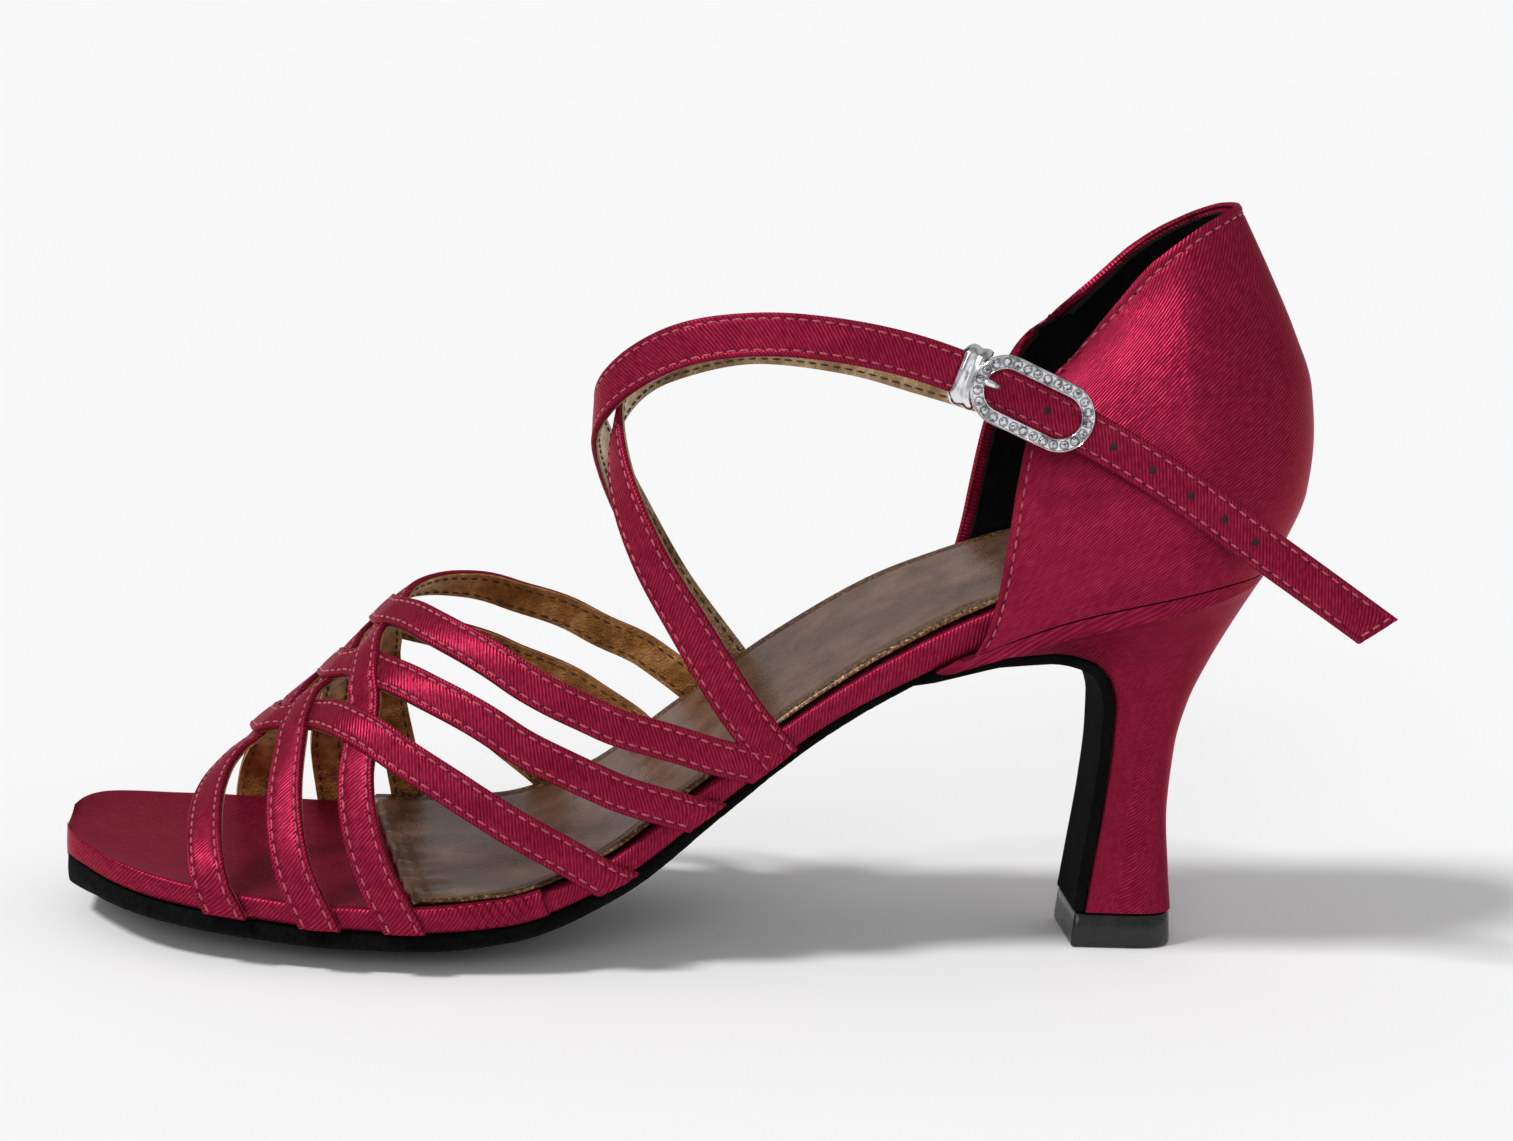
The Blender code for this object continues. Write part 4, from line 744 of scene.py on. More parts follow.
def vampRoute(front, rear, side):   # evenly spaced on the arch: point, normal, share from the ridge
    spots = [(a, t * side) for a, t in front] + [(a, -t * side) for a, t in rear]
    even = evenRoute([(a, t * 0.25) for a, t in spots], vamp["stations"] * 2)
    even[:, 1] *= 4
    run = runOf([archPoint(a, t)[0] for a, t in even])
    wanted = np.linspace(0, run[-1], vamp["stations"])
    shares = zip(*(np.interp(wanted, run, even[:, k]) for k in (0, 1)))
    return [(*archPoint(a, t), abs(t)) for a, t in shares]


def raised(places, spot, way):  # lifts a strap over, or lowers it under, its crossing
    run = runOf([place[0] for place in places])
    amount = (vamp["thick"] - vamp["overlap"]) / 2 + vamp["ease"]
    lifts = []
    for (_, _, around), r in zip(places, run):
        near = 1 - ramp((abs(r - run[spot]) - vamp["flat"]) / vamp["slope"])
        lifts.append(near * amount * (way + ramp((around - 0.75) / 0.2)))
    return np.array(lifts)


rows = rowsStart()
families = {"outer": [vampRoute(*ends, -1) for ends in zip(vamp["outerFront"], vamp["innerRear"])],
            "inner": [vampRoute(*ends, 1) for ends in zip(vamp["innerFront"], vamp["outerRear"])]}
lifts = {label: [np.zeros(vamp["stations"]) for _ in family] for label, family in families.items()}
for j, outer in enumerate(families["outer"]):
    for k, inner in enumerate(families["inner"]):
        first, second = (np.array([place[0] for place in route]) for route in (outer, inner))
        away = np.linalg.norm(first[:, None] - second[None], axis=2)
        atOuter, atInner = np.unravel_index(np.argmin(away), away.shape)
        way = 1 if (j - k) % 2 == 0 else -1
        lifts["outer"][j] += raised(outer, atOuter, -way)
        lifts["inner"][k] += raised(inner, atInner, way)
straps = []
for label, family in families.items():
    for index, (route, lift) in enumerate(zip(family, lifts[label])):
        points = [p + n * up for (p, n, _), up in zip(route, lift)]
        frames = besideSole(points, [n for _, n, _ in route], vamp["width"], vamp["thick"])
        straps.append(makeStrap(f"{label}Strap{index + 1}", frames, vamp["width"], vamp["thick"], rows))
ridesOn(joined([satinPart for satinPart, _ in straps], "vampSatin"), "vamp_straps")
ridesOn(joined([liningPart for _, liningPart in straps], "vampLining"), "vamp_straps", False)
rowsDone(rows, "vamp", "vamp_straps")
print("vamp straps done")


instep = {
    "width": 0.0080, "thick": 0.0014, "clear": 0.0011, "sideStart": 0.30, "legAxis": 0.58,
    "legBreadth": 1.2, "lean": 0.30, "leanIn": (0.49, 0.06), "leanOut": (0.60, 0.10), "longer": 0.0016,
    "endSlant": 0.0036,
    "under": [
        (0.6020, -0.710, 0.455), (0.5880, -0.716, 0.500), (0.5565, -0.720, 0.602), (0.5131, -0.679, 0.778),
        (0.4788, -0.548, 0.922), (0.4560, -0.352, 1.062), (0.4500, -0.144, 1.167), (0.4560, 0.039, 1.237),
        (0.4740, 0.248, 1.288), (0.5020, 0.431, 1.318), (0.5714, 0.614, 1.354), (0.6617, 0.640, 1.336),
        (0.7204, 0.614, 1.300), (0.7778, 0.548, 1.263)],
    "over": [
        (0.5827, 0.690, 0.519), (0.5610, 0.700, 0.590), (0.5140, 0.690, 0.753), (0.4765, 0.590, 0.926),
        (0.4494, 0.380, 1.074), (0.4350, 0.091, 1.185), (0.4385, -0.131, 1.262), (0.4570, -0.275, 1.330),
        (0.4840, -0.402, 1.386), (0.5160, -0.520, 1.424), (0.5650, -0.610, 1.446), (0.6139, -0.656, 1.444),
        (0.6730, -0.655, 1.420), (0.7240, -0.650, 1.381), (0.7830, -0.668, 1.320), (0.8480, -0.707, 1.238),
        (0.9142, -0.745, 1.138), (0.9711, -0.760, 1.037), (1.0276, -0.765, 0.938), (1.0845, -0.770, 0.837)],
}


def instepFrames(rows, count):
    points = []
    for along, out, up in rows:
        clear = min(1.0, max(-1.0, out / instep["sideStart"])) * instep["clear"]
        y = out * (sole["halfBall"] - instep["clear"]) + clear
        points.append((sole["toeX"] + along * sole["length"], y, up * sole["seatHeight"]))
    points = evenRoute(points, count)
    axisX = sole["toeX"] + instep["legAxis"] * sole["length"]
    normals = []
    for x, y, z in points:
        along = (x - sole["toeX"]) / sole["length"]
        into, out = (ramp((along - start) / run) for start, run in (instep["leanIn"], instep["leanOut"]))
        lean = into * (1 - out) if y < 0 else 0.0
        flat = unit(np.array([(x - axisX) * (0.1 if x > axisX else 1.0), y * instep["legBreadth"], 0.0]))
        normals.append(unit(flat + np.array([0.0, 0.0, lean * instep["lean"]])))
    return besideSole(points, normals, instep["width"], instep["thick"])


rows = rowsStart()
underFrames = instepFrames(instep["under"], 110)
overFrames = instepFrames(instep["over"], 190)
lastFrame = overFrames[-1]
overFrames.append((lastFrame[0] + lastFrame[1] * instep["longer"], *lastFrame[1:]))
underParts = makeStrap("underStrap", underFrames, instep["width"], instep["thick"], rows, (True, False),
                       lining=paleLining)
overParts = makeStrap("overStrap", overFrames, instep["width"], instep["thick"], rows, (True, False),
                      slant=instep["endSlant"], lining=paleLining)
end = overFrames[-1]
halfRow = instep["width"] / 2 - strapForm["stitchIn"] + 0.00005
acrossEnd = [placed(end, -0.0012 - instep["endSlant"] * (w / instep["width"] + 0.5), w,
                    strapHeight(w / (instep["width"] / 2), instep["width"], instep["thick"]))
             for w in np.linspace(-halfRow, halfRow, 8)]
stitchRow(rows["thread"], rows["holes"], acrossEnd, [end[3]] * 8, 0.0004)


def strapFrameAt(frames, along):
    wanted = sole["toeX"] + along * sole["length"]
    index = max(i for i in range(len(frames) - 1) if frames[i][0][0] <= wanted)
    before, after = frames[index], frames[index + 1]
    share = (wanted - before[0][0]) / (after[0][0] - before[0][0])
    point, t, w, n = [a + (b - a) * share for a, b in zip(before, after)]
    t = unit(t)
    w = unit(w - t * (w @ t))
    return point, t, w, np.cross(w, t)


tail = {"holeAt": (0.7955, 0.8517, 0.8846, 0.9174, 0.9464, 0.9732), "holeSize": 0.0017}
for along in tail["holeAt"]:    # punched holes of the buckled strap
    spot = strapFrameAt(overFrames, along)
    middle = placed(spot, 0.0, 0.0, strapHeight(0.0, instep["width"], instep["thick"]) - 0.00002)
    # the punched holes are dark discs of painted shade
    addBead(rows["holes"], middle, spot[1:], (tail["holeSize"], tail["holeSize"], 0.00025))
ridesOn(joined([underParts[0], overParts[0]], "instepSatin"), "instep_straps")
ridesOn(joined([underParts[1], overParts[1]], "instepLining"), "instep_straps", False)
rowsDone(rows, "instep", "instep_straps")
print("instep straps done")


# Platform, insole and outsole

platform = {"stations": 150, "stepAt": 0.398, "step": 0.00090, "stepRun": 0.0014, "swellFrom": 0.22,
            "swellRun": 0.14, "foldsIn": (0.30, 0.36), "foldsOut": (0.40, 0.38), "foldTurn": radians(38)}
topHalf = [(-1.0, 0.50), (-1.0, 0.30), (-0.997, 0.17), (-0.988, 0.07), (-0.972, 0.015), (-0.94, 0.0),
           (-0.80, 0.0), (-0.55, 0.0), (-0.28, 0.0), (0.0, 0.0)]
solePath = topHalf + [(-v, d) for v, d in topHalf[-2::-1]]
soleLoop = solePath + [(v, 1 - d) for v, d in solePath[-2:0:-1]]


def soleStations(count, start=0.0, end=1.0):
    return [start + (end - start) * (0.5 - 0.5 * cos(pi * i / count)) for i in range(count + 1)]


def platformLoops():
    loops = []
    stepped = [platform["stepAt"] + platform["stepRun"] * share for share in (0, 0.25, 0.5, 0.75, 1)]
    for along in sorted(soleStations(platform["stations"]) + stepped):
        swell = platform["step"] * ramp((along - platform["swellFrom"]) / platform["swellRun"])
        swell *= 1 - ramp((along - platform["stepAt"]) / platform["stepRun"])
        loop = []
        for v, d in soleLoop:
            spot = bedPoint(along, v, platformDepth(along, v) * d)
            if abs(v) > 0.93:
                spot = spot + np.array([0.0, swell * (1 if v > 0 else -1), swell if d < 0.2 else 0.0])
            loop.append(spot)
        loops.append(loop)
    return loops


def wrapFolds(made):            # gathers of the satin wrap on the side of the ball
    x = made.split(made.place())[0]
    near, past = (made.fade(x, *(sole["toeX"] + share * sole["length"] for share in platform[key]))
                  for key in ("foldsIn", "foldsOut"))
    pleats = made.waves(made.mapped(made.place(), turn=(0, platform["foldTurn"], 0)), 210.0, 2.5)
    return near * past * pleats * 2.6


platformSatin = satin("platformSatin", 0.30, wrapFolds).material
ridesOn(finishPiece("platformWrap", sheetFrom(platformLoops(), closed=True), platformSatin, sharpAngle=80),
        "platform")

insole = {"front": 0.275, "slant": 0.0205, "inset": 0.0010, "thick": 0.0015, "line": 0.0030,
          "groove": 0.00028, "grooveWide": 0.0005, "roll": 0.0007, "rollWide": 0.0009, "pucker": 0.00036,
          "puckerRun": 0.006, "wall": 0.0009, "stations": 150, "across": 64}


def insoleLoops():
    loops = []
    for i in range(insole["stations"] + 1):
        share = i / insole["stations"]
        loop = []
        for k in range(insole["across"] + 1):
            v = -cos(pi * k / insole["across"])
            start = insole["front"] - insole["slant"] * v
            along = start + (1.0 - insole["inset"] / sole["length"] - start) * (share ** 1.15)
            side = halfWidth(along, v)
            inside = v * (1 - min(insole["inset"], side / 2) / side)
            fromSide = (1 - abs(v)) * side
            fromFront = (along - start) * sole["length"]
            edge = min(fromSide, fromFront)
            groove = insole["groove"] * exp(-((edge - insole["line"]) / insole["grooveWide"]) ** 2)
            roll = insole["roll"] * max(0.0, 1 - edge / insole["rollWide"]) ** 2
            waves = sin(v * 37 + 1) + sin(v * 22)
            pucker = insole["pucker"] * waves * exp(-(fromFront / insole["puckerRun"]) ** 2)
            loop.append(bedPoint(along, inside, -sole["gap"] - insole["thick"] + groove + roll - pucker))
        loops.append(loop)
    return loops


def insoleFinish():             # worn bronze leather, brown inside its pressed border line
    made = Finish("bronzeSock", Roughness=0.3, Metallic=0.50, Specular_IOR_Level=0.20, Coat_Weight=0.10,
                  Coat_Roughness=0.10)
    border = made.node("ShaderNodeAttribute", {"attribute_name": "edge"}, output="Fac")
    grain = made.cells(made.place())
    patch = made.noise(made.place(), 120.0, 5.0, 0.6)
    speck = made.noise(made.place(), 1400.0, 3.0)
    middle = made.ramp(patch, [(0.3, (0.110, 0.048, 0.027)), (0.7, (0.250, 0.150, 0.105))])
    rim = made.ramp(speck, [(0.42, (0.050, 0.022, 0.008)), (0.60, (0.15, 0.075, 0.030)),
                            (0.76, (0.42, 0.28, 0.15))])
    inRim = made.fade(border + patch * 0.0012, 0.0062, insole["line"])
    made.wear(Base_Color=made.mix(inRim, middle, rim), Roughness=0.20 + patch * 0.22 + inRim * 0.12)
    return made.bump(grain * 0.9 + patch * 1.2 + speck * 0.4, 0.00018, 0.7)


def insolePiece():
    bm = sheetFrom(insoleLoops())
    bm.verts.layers.float.new("edge")
    layer = bm.verts.layers.float["edge"]
    for vert in bm.verts:
        along = (vert.co.x - sole["toeX"]) / sole["length"]
        v = vert.co.y / halfWidth(along, vert.co.y)
        toBack = (1.0 - along) * sole["length"]
        fromSide = (1 - min(1.0, abs(v))) * halfWidth(along, vert.co.y)
        vert[layer] = min(fromSide, toBack)
    piece = finishPiece("sock", bm, insoleFinish().material)
    wallOf = piece.modifiers.new("thickness", "SOLIDIFY")
    wallOf.thickness = insole["wall"]
    wallOf.offset = -1
    return piece


sock = ridesOn(insolePiece(), "insole")
if sock.data.polygons[len(sock.data.polygons) // 2].normal.z < 0:
    sock.data.flip_normals()


def lipTwist(x, y):
    lipX, flatX = heelFront(1.0)[0], heelShape["frontX"][-2] * (tipHigh.x - tipLow.x)
    share = min(1.0, max(0.0, (flatX - x) / (flatX - lipX)))
    return (seatHeight(lipX, y) - seatHeight(lipX, 0.0)) * share


heelShape = {                   # tip to seat, shares of the seat's height and of the tip's size
    "station": (0.00, 0.12, 0.25, 0.37, 0.47, 0.57, 0.67, 0.79, 0.90),
    "frontX": (-0.382, -0.335, -0.268, -0.238, -0.240, -0.310, -0.500, -0.930, -1.480),
    "frontZ": (0, 0.134, 0.325, 0.478, 0.580, 0.661, 0.727, 0.766, 0.771),
    "rearX": (0.490, 0.437, 0.387, 0.417, 0.510, 0.672, 0.843, 1.000, 1.090),
    "rearZ": (0, 0.127, 0.295, 0.470, 0.602, 0.723, 0.829, 0.918, 0.965),
    "half": (0.495, 0.485, 0.485, 0.510, 0.575, 0.705, 0.880, 1.090, 1.250),
    "frontHalf": (0.490, 0.475, 0.470, 0.485, 0.530, 0.610, 0.740, 0.960, 1.130),
    "round": (3.2, 3.0, 2.7, 2.5, 2.4, 2.3, 2.2, 2.1, 2.0),
    "flap": (0.470, 0.460, 0.455, 0.465, 0.500, 0.570, 0.690, 0.880, 1.010),
}
heelCurve = curvesOf(heelShape)
tipLength, tipWidth = tipHigh.x - tipLow.x, tipHigh.y - tipLow.y
seatBack = seatHeight(sole["toeX"] + sole["length"], 0.0)
heel = {"lip": 0.0064, "lipWidth": 0.0480, "lipHeight": 0.0008, "stations": 64, "flapStations": 48}


def heelHeight(share):
    base = tipHigh.z + sole["gap"]
    return base + share * (seatBack - base)


def heelFront(station):
    last = heelShape["station"][-1]
    low = np.array([heelCurve["frontX"](station) * tipLength, heelHeight(heelCurve["frontZ"](station))])
    if station <= last:
        return low
    lipX = -(seatWidth * abs(cupShape["front"][0]) + heel["lip"])
    high = np.array([lipX, seatHeight(lipX, 0.0) - sole["gap"] - heel["lipHeight"]])
    return low + (high - low) * (station - last) / (1 - last)


def heelRear(station):
    last = heelShape["station"][-1]
    low = np.array([heelCurve["rearX"](station) * tipLength, heelHeight(heelCurve["rearZ"](station))])
    if station <= last:
        return low
    return low + (np.array([cupBack, seatBack - sole["gap"]]) - low) * (station - last) / (1 - last)


def dOutline(frontHalf, half, middle, power):   # half a D, from the round rear to the flat front
    spots = []
    for i in range(25):
        angle = pi / 2 * i / 24
        spots.append((middle + (1 - middle) * cos(angle) ** (2 / power), half * sin(angle) ** (2 / power)))
    for share in (0.85, 0.7, 0.55, 0.4, 0.25, 0.12, 0.04):
        spots.append((middle * share, half + (frontHalf - half) * (1 - share) ** 2))
    return spots + [(0.0, frontHalf * 0.975), (0.0, frontHalf * 0.9), (0.0, frontHalf * 0.5)]


def bothSides(halfLoop):
    return [(x, -y, z) for x, y, z in halfLoop][::-1] + [(x, y, z) for x, y, z in halfLoop[1:]]


def heelLoops():
    loops = []
    seatMiddle = -heelFront(1.0)[0] / (cupBack - heelFront(1.0)[0])
    for station in [i / heel["stations"] for i in range(heel["stations"] + 1)]:
        front, rear = heelFront(station), heelRear(station)
        share = max(0.0, (station - 0.57) / 0.43)
        middle = 0.35 + (seatMiddle - 0.35) * share
        last = station > 0.999
        half = cupHalf if last else heelCurve["half"](station) * tipWidth
        frontHalf = heel["lipWidth"] / 2 if last else heelCurve["frontHalf"](station) * tipWidth
        if 0.90 < station < 0.999:
            grow = (station - 0.90) / 0.10
            half += (cupHalf - half) * grow
            frontHalf += (heel["lipWidth"] / 2 - frontHalf) * grow
        outline = dOutline(frontHalf, half, middle, heelCurve["round"](station))
        spots = [(front + (rear - front) * s, y) for s, y in outline]
        loop = bothSides([(spot[0], y, spot[1]) for spot, y in spots])
        if last:
            loops.append([np.array([x, y, seatHeight(x, y) - sole["gap"]]) for x, y, z in loop])
        else:
            loops.append([np.array([x, y, z + lipTwist(x, y)]) for x, y, z in loop])
    return loops


heelSatin = finishPiece("heelSatin", sheetFrom(heelLoops(), closed=True), bodySatin, sharpAngle=60)
ridesOn(heelSatin, "heel")


suedeFuzz = 0.00045             # roughness of the sole's cut edge


def outsoleLoops():
    loops = []
    for along in soleStations(260, 0.0033, sole["waist"]):
        thinner = min(1.0, max(0.0, (along - 0.33) / 0.23))
        thick = sole["outsoleThick"] + (sole["flapThick"] - sole["outsoleThick"]) * thinner
        scale = soleCurve["under"](along)
        loop = []
        for v, d in soleLoop:
            v *= scale
            depth = platformDepth(along, v) + sole["gap"]
            spot = bedPoint(along, v, depth + thick * (1 - sole["outsoleThinning"] * edgeShare(v)) * d)
            if abs(v) > 0.97 * scale and d > 0.05:
                spot[1] *= 1 + suedeFuzz * noise.noise(Vector(spot) * 900) / (abs(spot[1]) + 0.01)
            loop.append(spot)
        loops.append(loop)
    last = heel["flapStations"]
    stations = [1 - i / last for i in range(last + 1)]
    line = [heelFront(station) for station in stations]
    for index, station in enumerate(stations):
        run = unit(line[min(last, index + 1)] - line[max(0, index - 1)])
        normal = np.array([run[1], -run[0]])
        if normal @ np.array([-1.0, -0.6]) < 0:
            normal = -normal
        half = heelCurve["flap"](station) * tipWidth
        centre = line[index] + normal * sole["gap"]
        loop = []
        for v, d in soleLoop:
            spot = centre + normal * sole["flapThick"] * d
            loop.append(np.array([spot[0], v * half, spot[1] + lipTwist(centre[0], v * half)]))
        loops.append(loop)
    return loops


ridesOn(finishPiece("suedeSole", sheetFrom(outsoleLoops(), closed=True), blackSuede, sharpAngle=80),
        "outsole")


def tipLoops():
    tipTop = tipHigh.z
    outline = dOutline(tipWidth / 2, tipWidth / 2, 0.45, 3.2)
    loops = []
    for height, inset in ((0.0, 0.00025), (0.00025, 0.0), (0.0010, 0.0), (tipTop * 0.5, 0.00015),
                          (tipTop * 0.93, 0.00035), (tipTop, 0.0008)):
        points = [((s - 0.5) * (tipLength - 2 * inset), max(0.0, y - inset) if y > 0 else 0.0, height)
                  for s, y in outline]
        loops.append([np.array(p) for p in bothSides(points)])
    return loops


def tipFinish():
    made = Finish("blackTip", Roughness=0.22, Specular_IOR_Level=0.5)
    scuff = made.noise(made.place(), 500.0, 4.0)
    made.wear(Base_Color=made.ramp(scuff, [(0.3, (0.002, 0.002, 0.0025)), (0.8, (0.010, 0.010, 0.012))]),
              Roughness=0.16 + scuff * 0.2)
    return made.bump(scuff, 0.00006)


ridesOn(finishPiece("heelTip", sheetFrom(tipLoops(), closed=True), tipFinish().material, sharpAngle=60),
        "heel_tip")
print("sole and heel done")


# Heel cup

cup = {"levels": 60, "around": 88, "satinThick": 0.0011, "liningDrop": 0.0013, "stitchIn": 0.0018,
       "fold": 0.00022, "foldIn": 0.0008, "foldWide": 0.0006, "dipWide": 0.0003}


def cupTurns(reach=1.0):
    q = [i / cup["around"] * reach for i in range(cup["around"] + 1)]
    return [(value, -1) for value in q[::-1]] + [(value, 1) for value in q[1:]]


@lru_cache(maxsize=None)
def cupNormal(level, q, side):
    a, b = max(0.0, level - 0.01), min(1.0, level + 0.01)
    up = cupPoint(b, q, side) - cupPoint(a, q, side)
    c, d = max(0.0, q - 0.01), min(1.0, q + 0.01)
    around = cupPoint(level, d, side) - cupPoint(level, c, side)
    if q < 0.01:
        around = np.array([0.0, side * 1.0, 0.0])
    normal = unit(np.cross(around, up))
    outward = np.array([cupPoint(level, q, side)[0] + 0.005, cupPoint(level, q, side)[1], 0.0])
    return normal if normal @ outward > 0 else -normal


def cupRows(lowest, drop, inward, turns):
    levels = [lowest + (1 - lowest) * (1 - (1 - i / cup["levels"]) ** 1.6) for i in range(cup["levels"] + 1)]
    rows = []
    for level in levels:
        row = []
        for q, side in turns:
            spot = cupPoint(level, q, side)
            edge = min(np.linalg.norm(cupPoint(1.0, q, side) - spot),
                       np.linalg.norm(cupPoint(level, 1.0, side) - spot))
            swell = 0.0
            if inward == 0:
                fold = exp(-((edge - cup["foldIn"]) / cup["foldWide"]) ** 2)
                swell = cup["fold"] * (fold - exp(-((edge - cup["stitchIn"]) / cup["dipWide"]) ** 2))
            spot = spot - cupNormal(level, q, side) * (inward - swell)
            if drop and level > 0.9:
                spot = spot - np.array([0.0, 0.0, drop * ramp((level - 0.9) / 0.1)])
            row.append(spot)
        rows.append(row)
    return rows


def cupSheet(name, rows, thick, finish):
    bm = sheetFrom(rows)
    piece = finishPiece(name, bm, finish)
    middle = piece.data.polygons[len(piece.data.polygons) // 2 + cup["around"] // 2]
    if middle.normal.dot(Vector((middle.center.x + 0.005, middle.center.y, 0.0))) < 0:
        piece.data.flip_normals()
    wallOf = piece.modifiers.new("thickness", "SOLIDIFY")
    wallOf.thickness = thick
    wallOf.offset = -1
    wallOf.use_even_offset = False
    edge = piece.modifiers.new("rounded edge", "BEVEL")
    edge.width = thick * 0.35
    edge.segments = 3
    edge.limit_method = "ANGLE"
    edge.angle_limit = radians(60)
    return piece


cupOut = cupSheet("cupSatin", cupRows(0.0, 0.0, 0.0, cupTurns()), cup["satinThick"], bodySatin)
ridesOn(cupOut, "counter")
cupIn = cupSheet("cupLining", cupRows(0.012, cup["liningDrop"], cup["satinThick"] + 0.00005, cupTurns(0.965)),
                 wall - cup["satinThick"] - 0.0001, blackSuede)
ridesOn(cupIn, "counter", False)


def cupStitches(spots):
    normals = [cupNormal(*spot) for spot in spots]
    line = [cupPoint(*spot) - normal * cup["fold"] * 0.8 for spot, normal in zip(spots, normals)]
    stitchRow(rows["thread"], rows["holes"], line, normals)


def shareIn(edge, back):        # where the stitches run, as a share from the edge
    return 1.0 - 0.04 * cup["stitchIn"] / np.linalg.norm(edge - back)


rows = rowsStart()
cupStitches([(shareIn(cupPoint(1.0, q, side), cupPoint(0.96, q, side)), q, side)
             for q, side in cupTurns(0.97)])
for side in (-1, 1):
    levels = [0.02 + 0.95 * i / 60 for i in range(61)]
    cupStitches([(level, shareIn(cupPoint(level, 1.0, side), cupPoint(level, 0.96, side)), side)
                 for level in levels])
rowsDone(rows, "cup", "counter")
print("heel cup done")


# Buckle

buckle = {
    "at": 0.7825, "length": 0.0240, "width": 0.0130, "band": 0.0026, "thick": 0.0016, "bar": 0.0011,
    "prong": 0.0013, "holeBack": 0.0062, "hole": 0.0020, "stones": 27, "stone": 0.0019, "stoneHigh": 0.00050,
    "settingHigh": 0.00022, "keeperAt": 0.7295, "keeperLength": 0.0042, "keeperThick": 0.0010, "room": 0.0003,
    "bulge": 0.0018, "tabLength": 0.0100, "tabWidth": 0.0060, "tabThick": 0.0012, "tabRise": 0.0004,
}
buckleFrame = strapFrameAt(overFrames, buckle["at"])
keeperFrame = strapFrameAt(overFrames, buckle["keeperAt"])
halfStrap = instep["thick"] / 2
straight = (buckle["length"] - buckle["width"]) / 2
radius = (buckle["width"] - buckle["band"]) / 2


def buckleUnderside(t):
    rear = halfStrap + sole["gap"]
    front = rear + buckle["room"] + buckle["keeperThick"] + sole["gap"]
    return rear + (front - rear) * (0.5 - t / buckle["length"])


def ovalLoops(section, steps):
    loops = []
    for i in range(steps):
        angle = 2 * pi * i / steps
        centre = straight if cos(angle) >= 0 else -straight
        loop = []
        for reach, height in section:
            r = radius + reach * buckle["band"]
            t = centre + r * cos(angle)
            loop.append(placed(buckleFrame, t, r * sin(angle), buckleUnderside(t) + height * buckle["thick"]))
        loops.append(loop)
    return loops


def ringPiece(name, loops, finish):   # a closed section carried round a closed line
    bm = sheetFrom(loops + [loops[0]], closed=True, ends=False)
    weld(bm)
    return finishPiece(name, bm, finish, sharpAngle=50)


rimSection = [(-0.5, 0.0), (0.5, 0.0), (0.5, 0.55), (0.46, 0.82), (0.40, 0.90), (0.34, 0.82), (0.32, 0.55),
              (-0.32, 0.55), (-0.36, 0.72), (-0.42, 0.76), (-0.48, 0.68), (-0.5, 0.5)]
ridesOn(ringPiece("buckleOval", ovalLoops(rimSection, 96), chrome), "buckle_frame")


def stoneFinish():
    made = Finish("clearStone", Roughness=0.02, Metallic=0.55, Specular_IOR_Level=1.0, Coat_Weight=1.0)
    # painted reflections: dark and white noise patches in the base colour stand in for glints on the clear
    # stones
    paintedGlint = made.noise(made.place(), 1500.0, 1.0)
    return made.wear(Base_Color=made.ramp(paintedGlint, [(0.38, (0.10, 0.10, 0.11)), (0.5, (0.80, 0.82, 0.86)),
                                                  (0.65, (1.0, 1.0, 1.0))]))


stones, settings = bmesh.new(), bmesh.new()
ovalLine = [(straight + radius * cos(a), radius * sin(a)) for a in np.linspace(-pi / 2, pi / 2, 60)]
ovalLine += [(-straight + radius * cos(a), radius * sin(a)) for a in np.linspace(pi / 2, 3 * pi / 2, 60)]
ovalLine.append(ovalLine[0])
ovalRun = runOf([(t, w, 0.0) for t, w in ovalLine])
turn = Matrix([buckleFrame[1], buckleFrame[2], buckleFrame[3]]).transposed().to_4x4()
for i in range(buckle["stones"]):
    at = ovalRun[-1] * (i + 0.5) / buckle["stones"]
    t, w = (np.interp(at, ovalRun, [p[k] for p in ovalLine]) for k in (0, 1))
    base = buckleUnderside(t) + buckle["thick"] * 0.55
    spin = Matrix.Rotation(i * 0.7, 4, "Z")
    seat = Matrix.Translation(placed(buckleFrame, t, w, base + 0.00024)) @ turn @ spin
    bmesh.ops.create_cone(stones, cap_ends=True, segments=8, radius1=buckle["stone"] / 2 * 0.86,
                          radius2=buckle["stone"] / 2 * 0.50, depth=buckle["stoneHigh"], matrix=seat)
    ring = Matrix.Translation(placed(buckleFrame, t, w, base + 0.00008)) @ turn
    bmesh.ops.create_cone(settings, cap_ends=True, segments=14, radius1=buckle["stone"] / 2,
                          radius2=buckle["stone"] / 2 * 0.93, depth=buckle["settingHigh"], matrix=ring)
for piece in (finishPiece("stones", stones, stoneFinish().material, smooth=False),
              finishPiece("stoneSettings", settings, bandMetal)):
    ridesOn(piece, "buckle_frame", False)


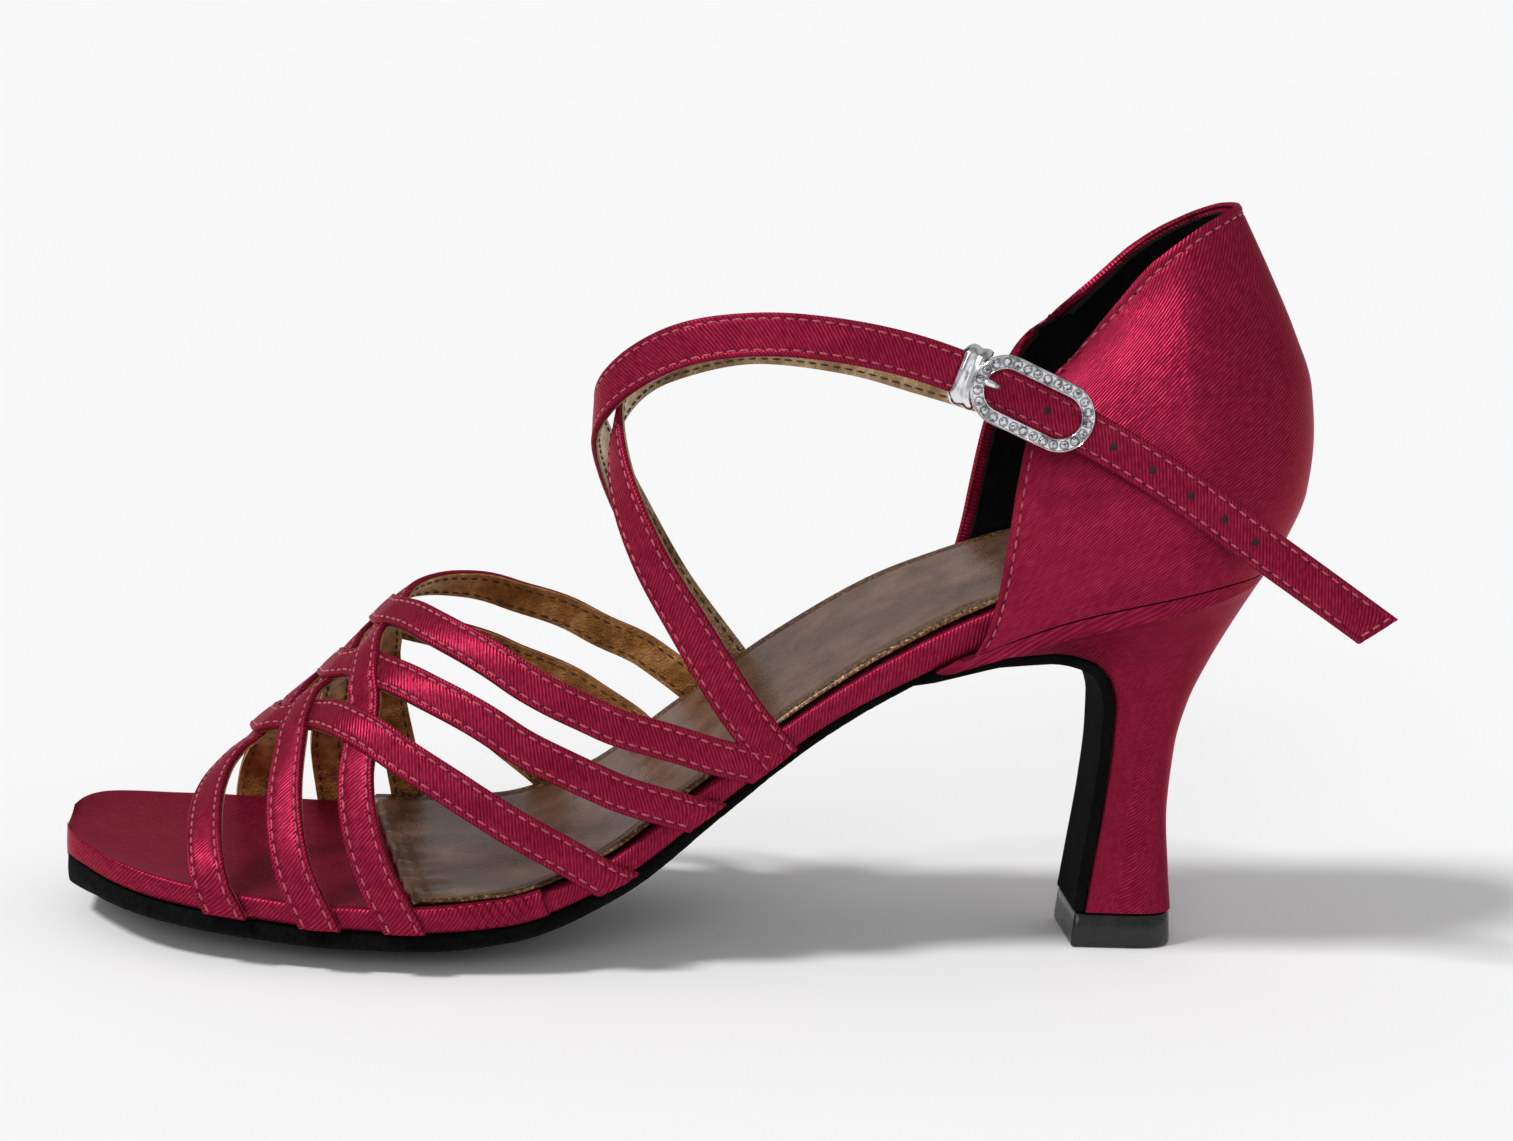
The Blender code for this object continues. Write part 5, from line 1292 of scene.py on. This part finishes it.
def keeperLoops():              # a stamped loop with two ridges round the strap
    half = instep["width"] / 2 + sole["gap"] + buckle["keeperThick"] / 2 + buckle["room"] * 2
    rise = halfStrap + sole["gap"] + buckle["keeperThick"] / 2 + buckle["room"]
    corner = rise * 0.9
    outline = []
    for cw, cn, start in ((1, 1, 0), (-1, 1, 1), (-1, -1, 2), (1, -1, 3)):
        for i in range(9):
            angle = pi / 2 * (start + i / 8)
            c, s = cos(angle), sin(angle)
            outline.append((cw * (half - corner) + corner * c, cn * (rise - corner) + corner * s, c, s))
    section = [(-0.5, -0.5), (0.5, -0.5), (0.5, 0.1), (0.44, 0.34), (0.30, 0.46), (0.16, 0.36), (0.05, 0.14),
               (-0.05, 0.14), (-0.16, 0.36), (-0.30, 0.46), (-0.44, 0.34), (-0.5, 0.1)]
    length, thick, bulge = (buckle[key] for key in ("keeperLength", "keeperThick", "bulge"))
    return [[placed(keeperFrame, t * length - bulge * (0.6 - (w / half) ** 2), w + ow * reach * thick,
                    n + on * reach * thick) for t, reach in section] for w, n, ow, on in outline]


ridesOn(ringPiece("keeperLoop", keeperLoops(), chrome), "buckle_keeper")


def wire(name, points, radii, out):
    frames = strapFrames(points, [out] * len(points))
    loops = [[p + (w * cos(a) + n * sin(a)) * r for a in np.linspace(0, 2 * pi, 14, endpoint=False)]
             for (p, _, w, n), r in zip(frames, radii)]
    return finishPiece(name, sheetFrom(loops, closed=True), chrome)


under = -halfStrap - sole["gap"]
frontT = -(buckle["length"] / 2 - buckle["band"] * 0.45)
overN = buckleUnderside(frontT) + buckle["thick"] + sole["gap"] + buckle["prong"] / 2
prongPath = [(-(buckle["bar"] / 2 + sole["gap"]), under - buckle["prong"] / 2),
             (-buckle["holeBack"] + buckle["hole"] * 0.35, under - buckle["prong"] / 2),
             (-buckle["holeBack"], under + buckle["prong"] * 0.2), (-buckle["holeBack"] - 0.0002, halfStrap),
             (-buckle["holeBack"] - buckle["hole"] * 0.5, overN * 0.75),
             (-buckle["holeBack"] - buckle["hole"] * 1.2, overN), (frontT, overN)]
prongPoints = evenRoute([placed(buckleFrame, t, 0.0, n) for t, n in prongPath], 40)
prongRadii = [buckle["prong"] / 2 * (1.0 if i < 36 else 1.0 - 0.6 * ((i - 35) / 4) ** 2) for i in range(40)]
ridesOn(wire("prong", prongPoints, prongRadii, buckleFrame[3] + 0.3 * buckleFrame[1]),
        "buckle_prong")

lowN, highN, bend = under - buckle["bar"] / 2, buckleUnderside(0.0) - sole["gap"], 0.0008
barPath = [(-radius, highN), (-radius, lowN + bend), (-radius + bend, lowN), (0.0, lowN),
           (radius - bend, lowN), (radius, lowN + bend), (radius, highN)]
barPoints = evenRoute([placed(buckleFrame, 0.0, w, n) for w, n in barPath], 40)
ridesOn(wire("bar", barPoints, [buckle["bar"] / 2] * 40, buckleFrame[1]), "buckle_bar")


def cupSide(x, z):
    spots = [cupPoint(level / 20, 0.5 + q / 40, 1) for level in range(21) for q in range(21)]
    nearest = sorted(spots, key=lambda p: (p[0] - x) ** 2 + (p[2] - z) ** 2)[:3]
    return max(p[1] for p in nearest)


tabPoints = []
for i in range(7):
    share = i / 6
    low = under - buckle["tabThick"] / 2 - buckle["tabRise"]
    point = placed(buckleFrame, buckle["bar"] / 2 + sole["gap"] + buckle["tabLength"] * share, 0.0, low)
    seated = -(cupSide(point[0], point[2]) + sole["gap"] + buckle["tabThick"] / 2 + buckle["tabRise"])
    point[1] += (seated - point[1]) * ramp(share)
    tabPoints.append(point)
tabFrames = strapFrames(evenRoute(tabPoints, 30), [buckleFrame[3]] * 30)
tabParts = makeStrap("tab", tabFrames, buckle["tabWidth"], buckle["tabThick"], rows, (False, False), False)
ridesOn(tabParts[0], "buckle_tab")
ridesOn(tabParts[1], "buckle_tab", False)
print("buckle done")


# Floor, light and camera

def floorFinish():
    made = Finish("paleFloor", Roughness=0.9, Specular_IOR_Level=0.0)
    cloud = made.noise(made.place(), 3.0)
    return made.wear(Base_Color=made.ramp(cloud, [(0.3, (0.890,) * 3), (0.7, (0.902,) * 3)]))


bm = bmesh.new()
bmesh.ops.create_grid(bm, x_segments=4, y_segments=4, size=40.0)
bmesh.ops.translate(bm, verts=bm.verts, vec=(0.0, 30.0, -0.0002))
finishPiece("floor", bm, floorFinish().material)

world = bpy.data.worlds.new("studio")
world.use_nodes = True
background = world.node_tree.nodes["Background"]
background.inputs["Color"].default_value = (0.985, 0.99, 1.0, 1.0)
background.inputs["Strength"].default_value = 0.45
bpy.context.scene.world = world

lights = {                      # directions towards each soft light
    "key": {"toward": (-0.62, -0.30, 0.95), "spread": 11.0, "strength": 2.10},
    "front": {"toward": (-0.28, -0.95, 0.48), "spread": 24.0, "strength": 0.46},
}
for name, spec in lights.items():
    data = bpy.data.lights.new(name, "SUN")
    data.angle = radians(spec["spread"])
    data.energy = spec["strength"]
    lamp = bpy.data.objects.new(name, data)
    lamp.rotation_euler = Vector(spec["toward"]).to_track_quat("Z", "Y").to_euler()
    bpy.context.scene.collection.objects.link(lamp)

view = {"at": Vector((-0.133, -0.607, 0.185)), "focalPixels": 3279, "imageWidth": 1513, "sensor": 36.0}
pan, tilt, roll = radians(5.56), radians(10.73), radians(3.13)
forward = Vector((sin(pan) * cos(tilt), cos(pan) * cos(tilt), -sin(tilt)))
level = Vector((cos(pan), -sin(pan), 0.0))
upward = level.cross(forward)
right = level * cos(roll) + upward * sin(roll)
upward = upward * cos(roll) - level * sin(roll)
cameraData = bpy.data.cameras.new("camera")
cameraData.sensor_width = view["sensor"]
cameraData.lens = view["sensor"] * view["focalPixels"] / view["imageWidth"]
camera = bpy.data.objects.new("camera", cameraData)
turn = Matrix([right, upward, -forward]).transposed().to_4x4()
camera.matrix_world = Matrix.Translation(view["at"]) @ turn
bpy.context.scene.collection.objects.link(camera)
bpy.context.scene.camera = camera
bpy.context.scene.view_settings.view_transform = "Standard"
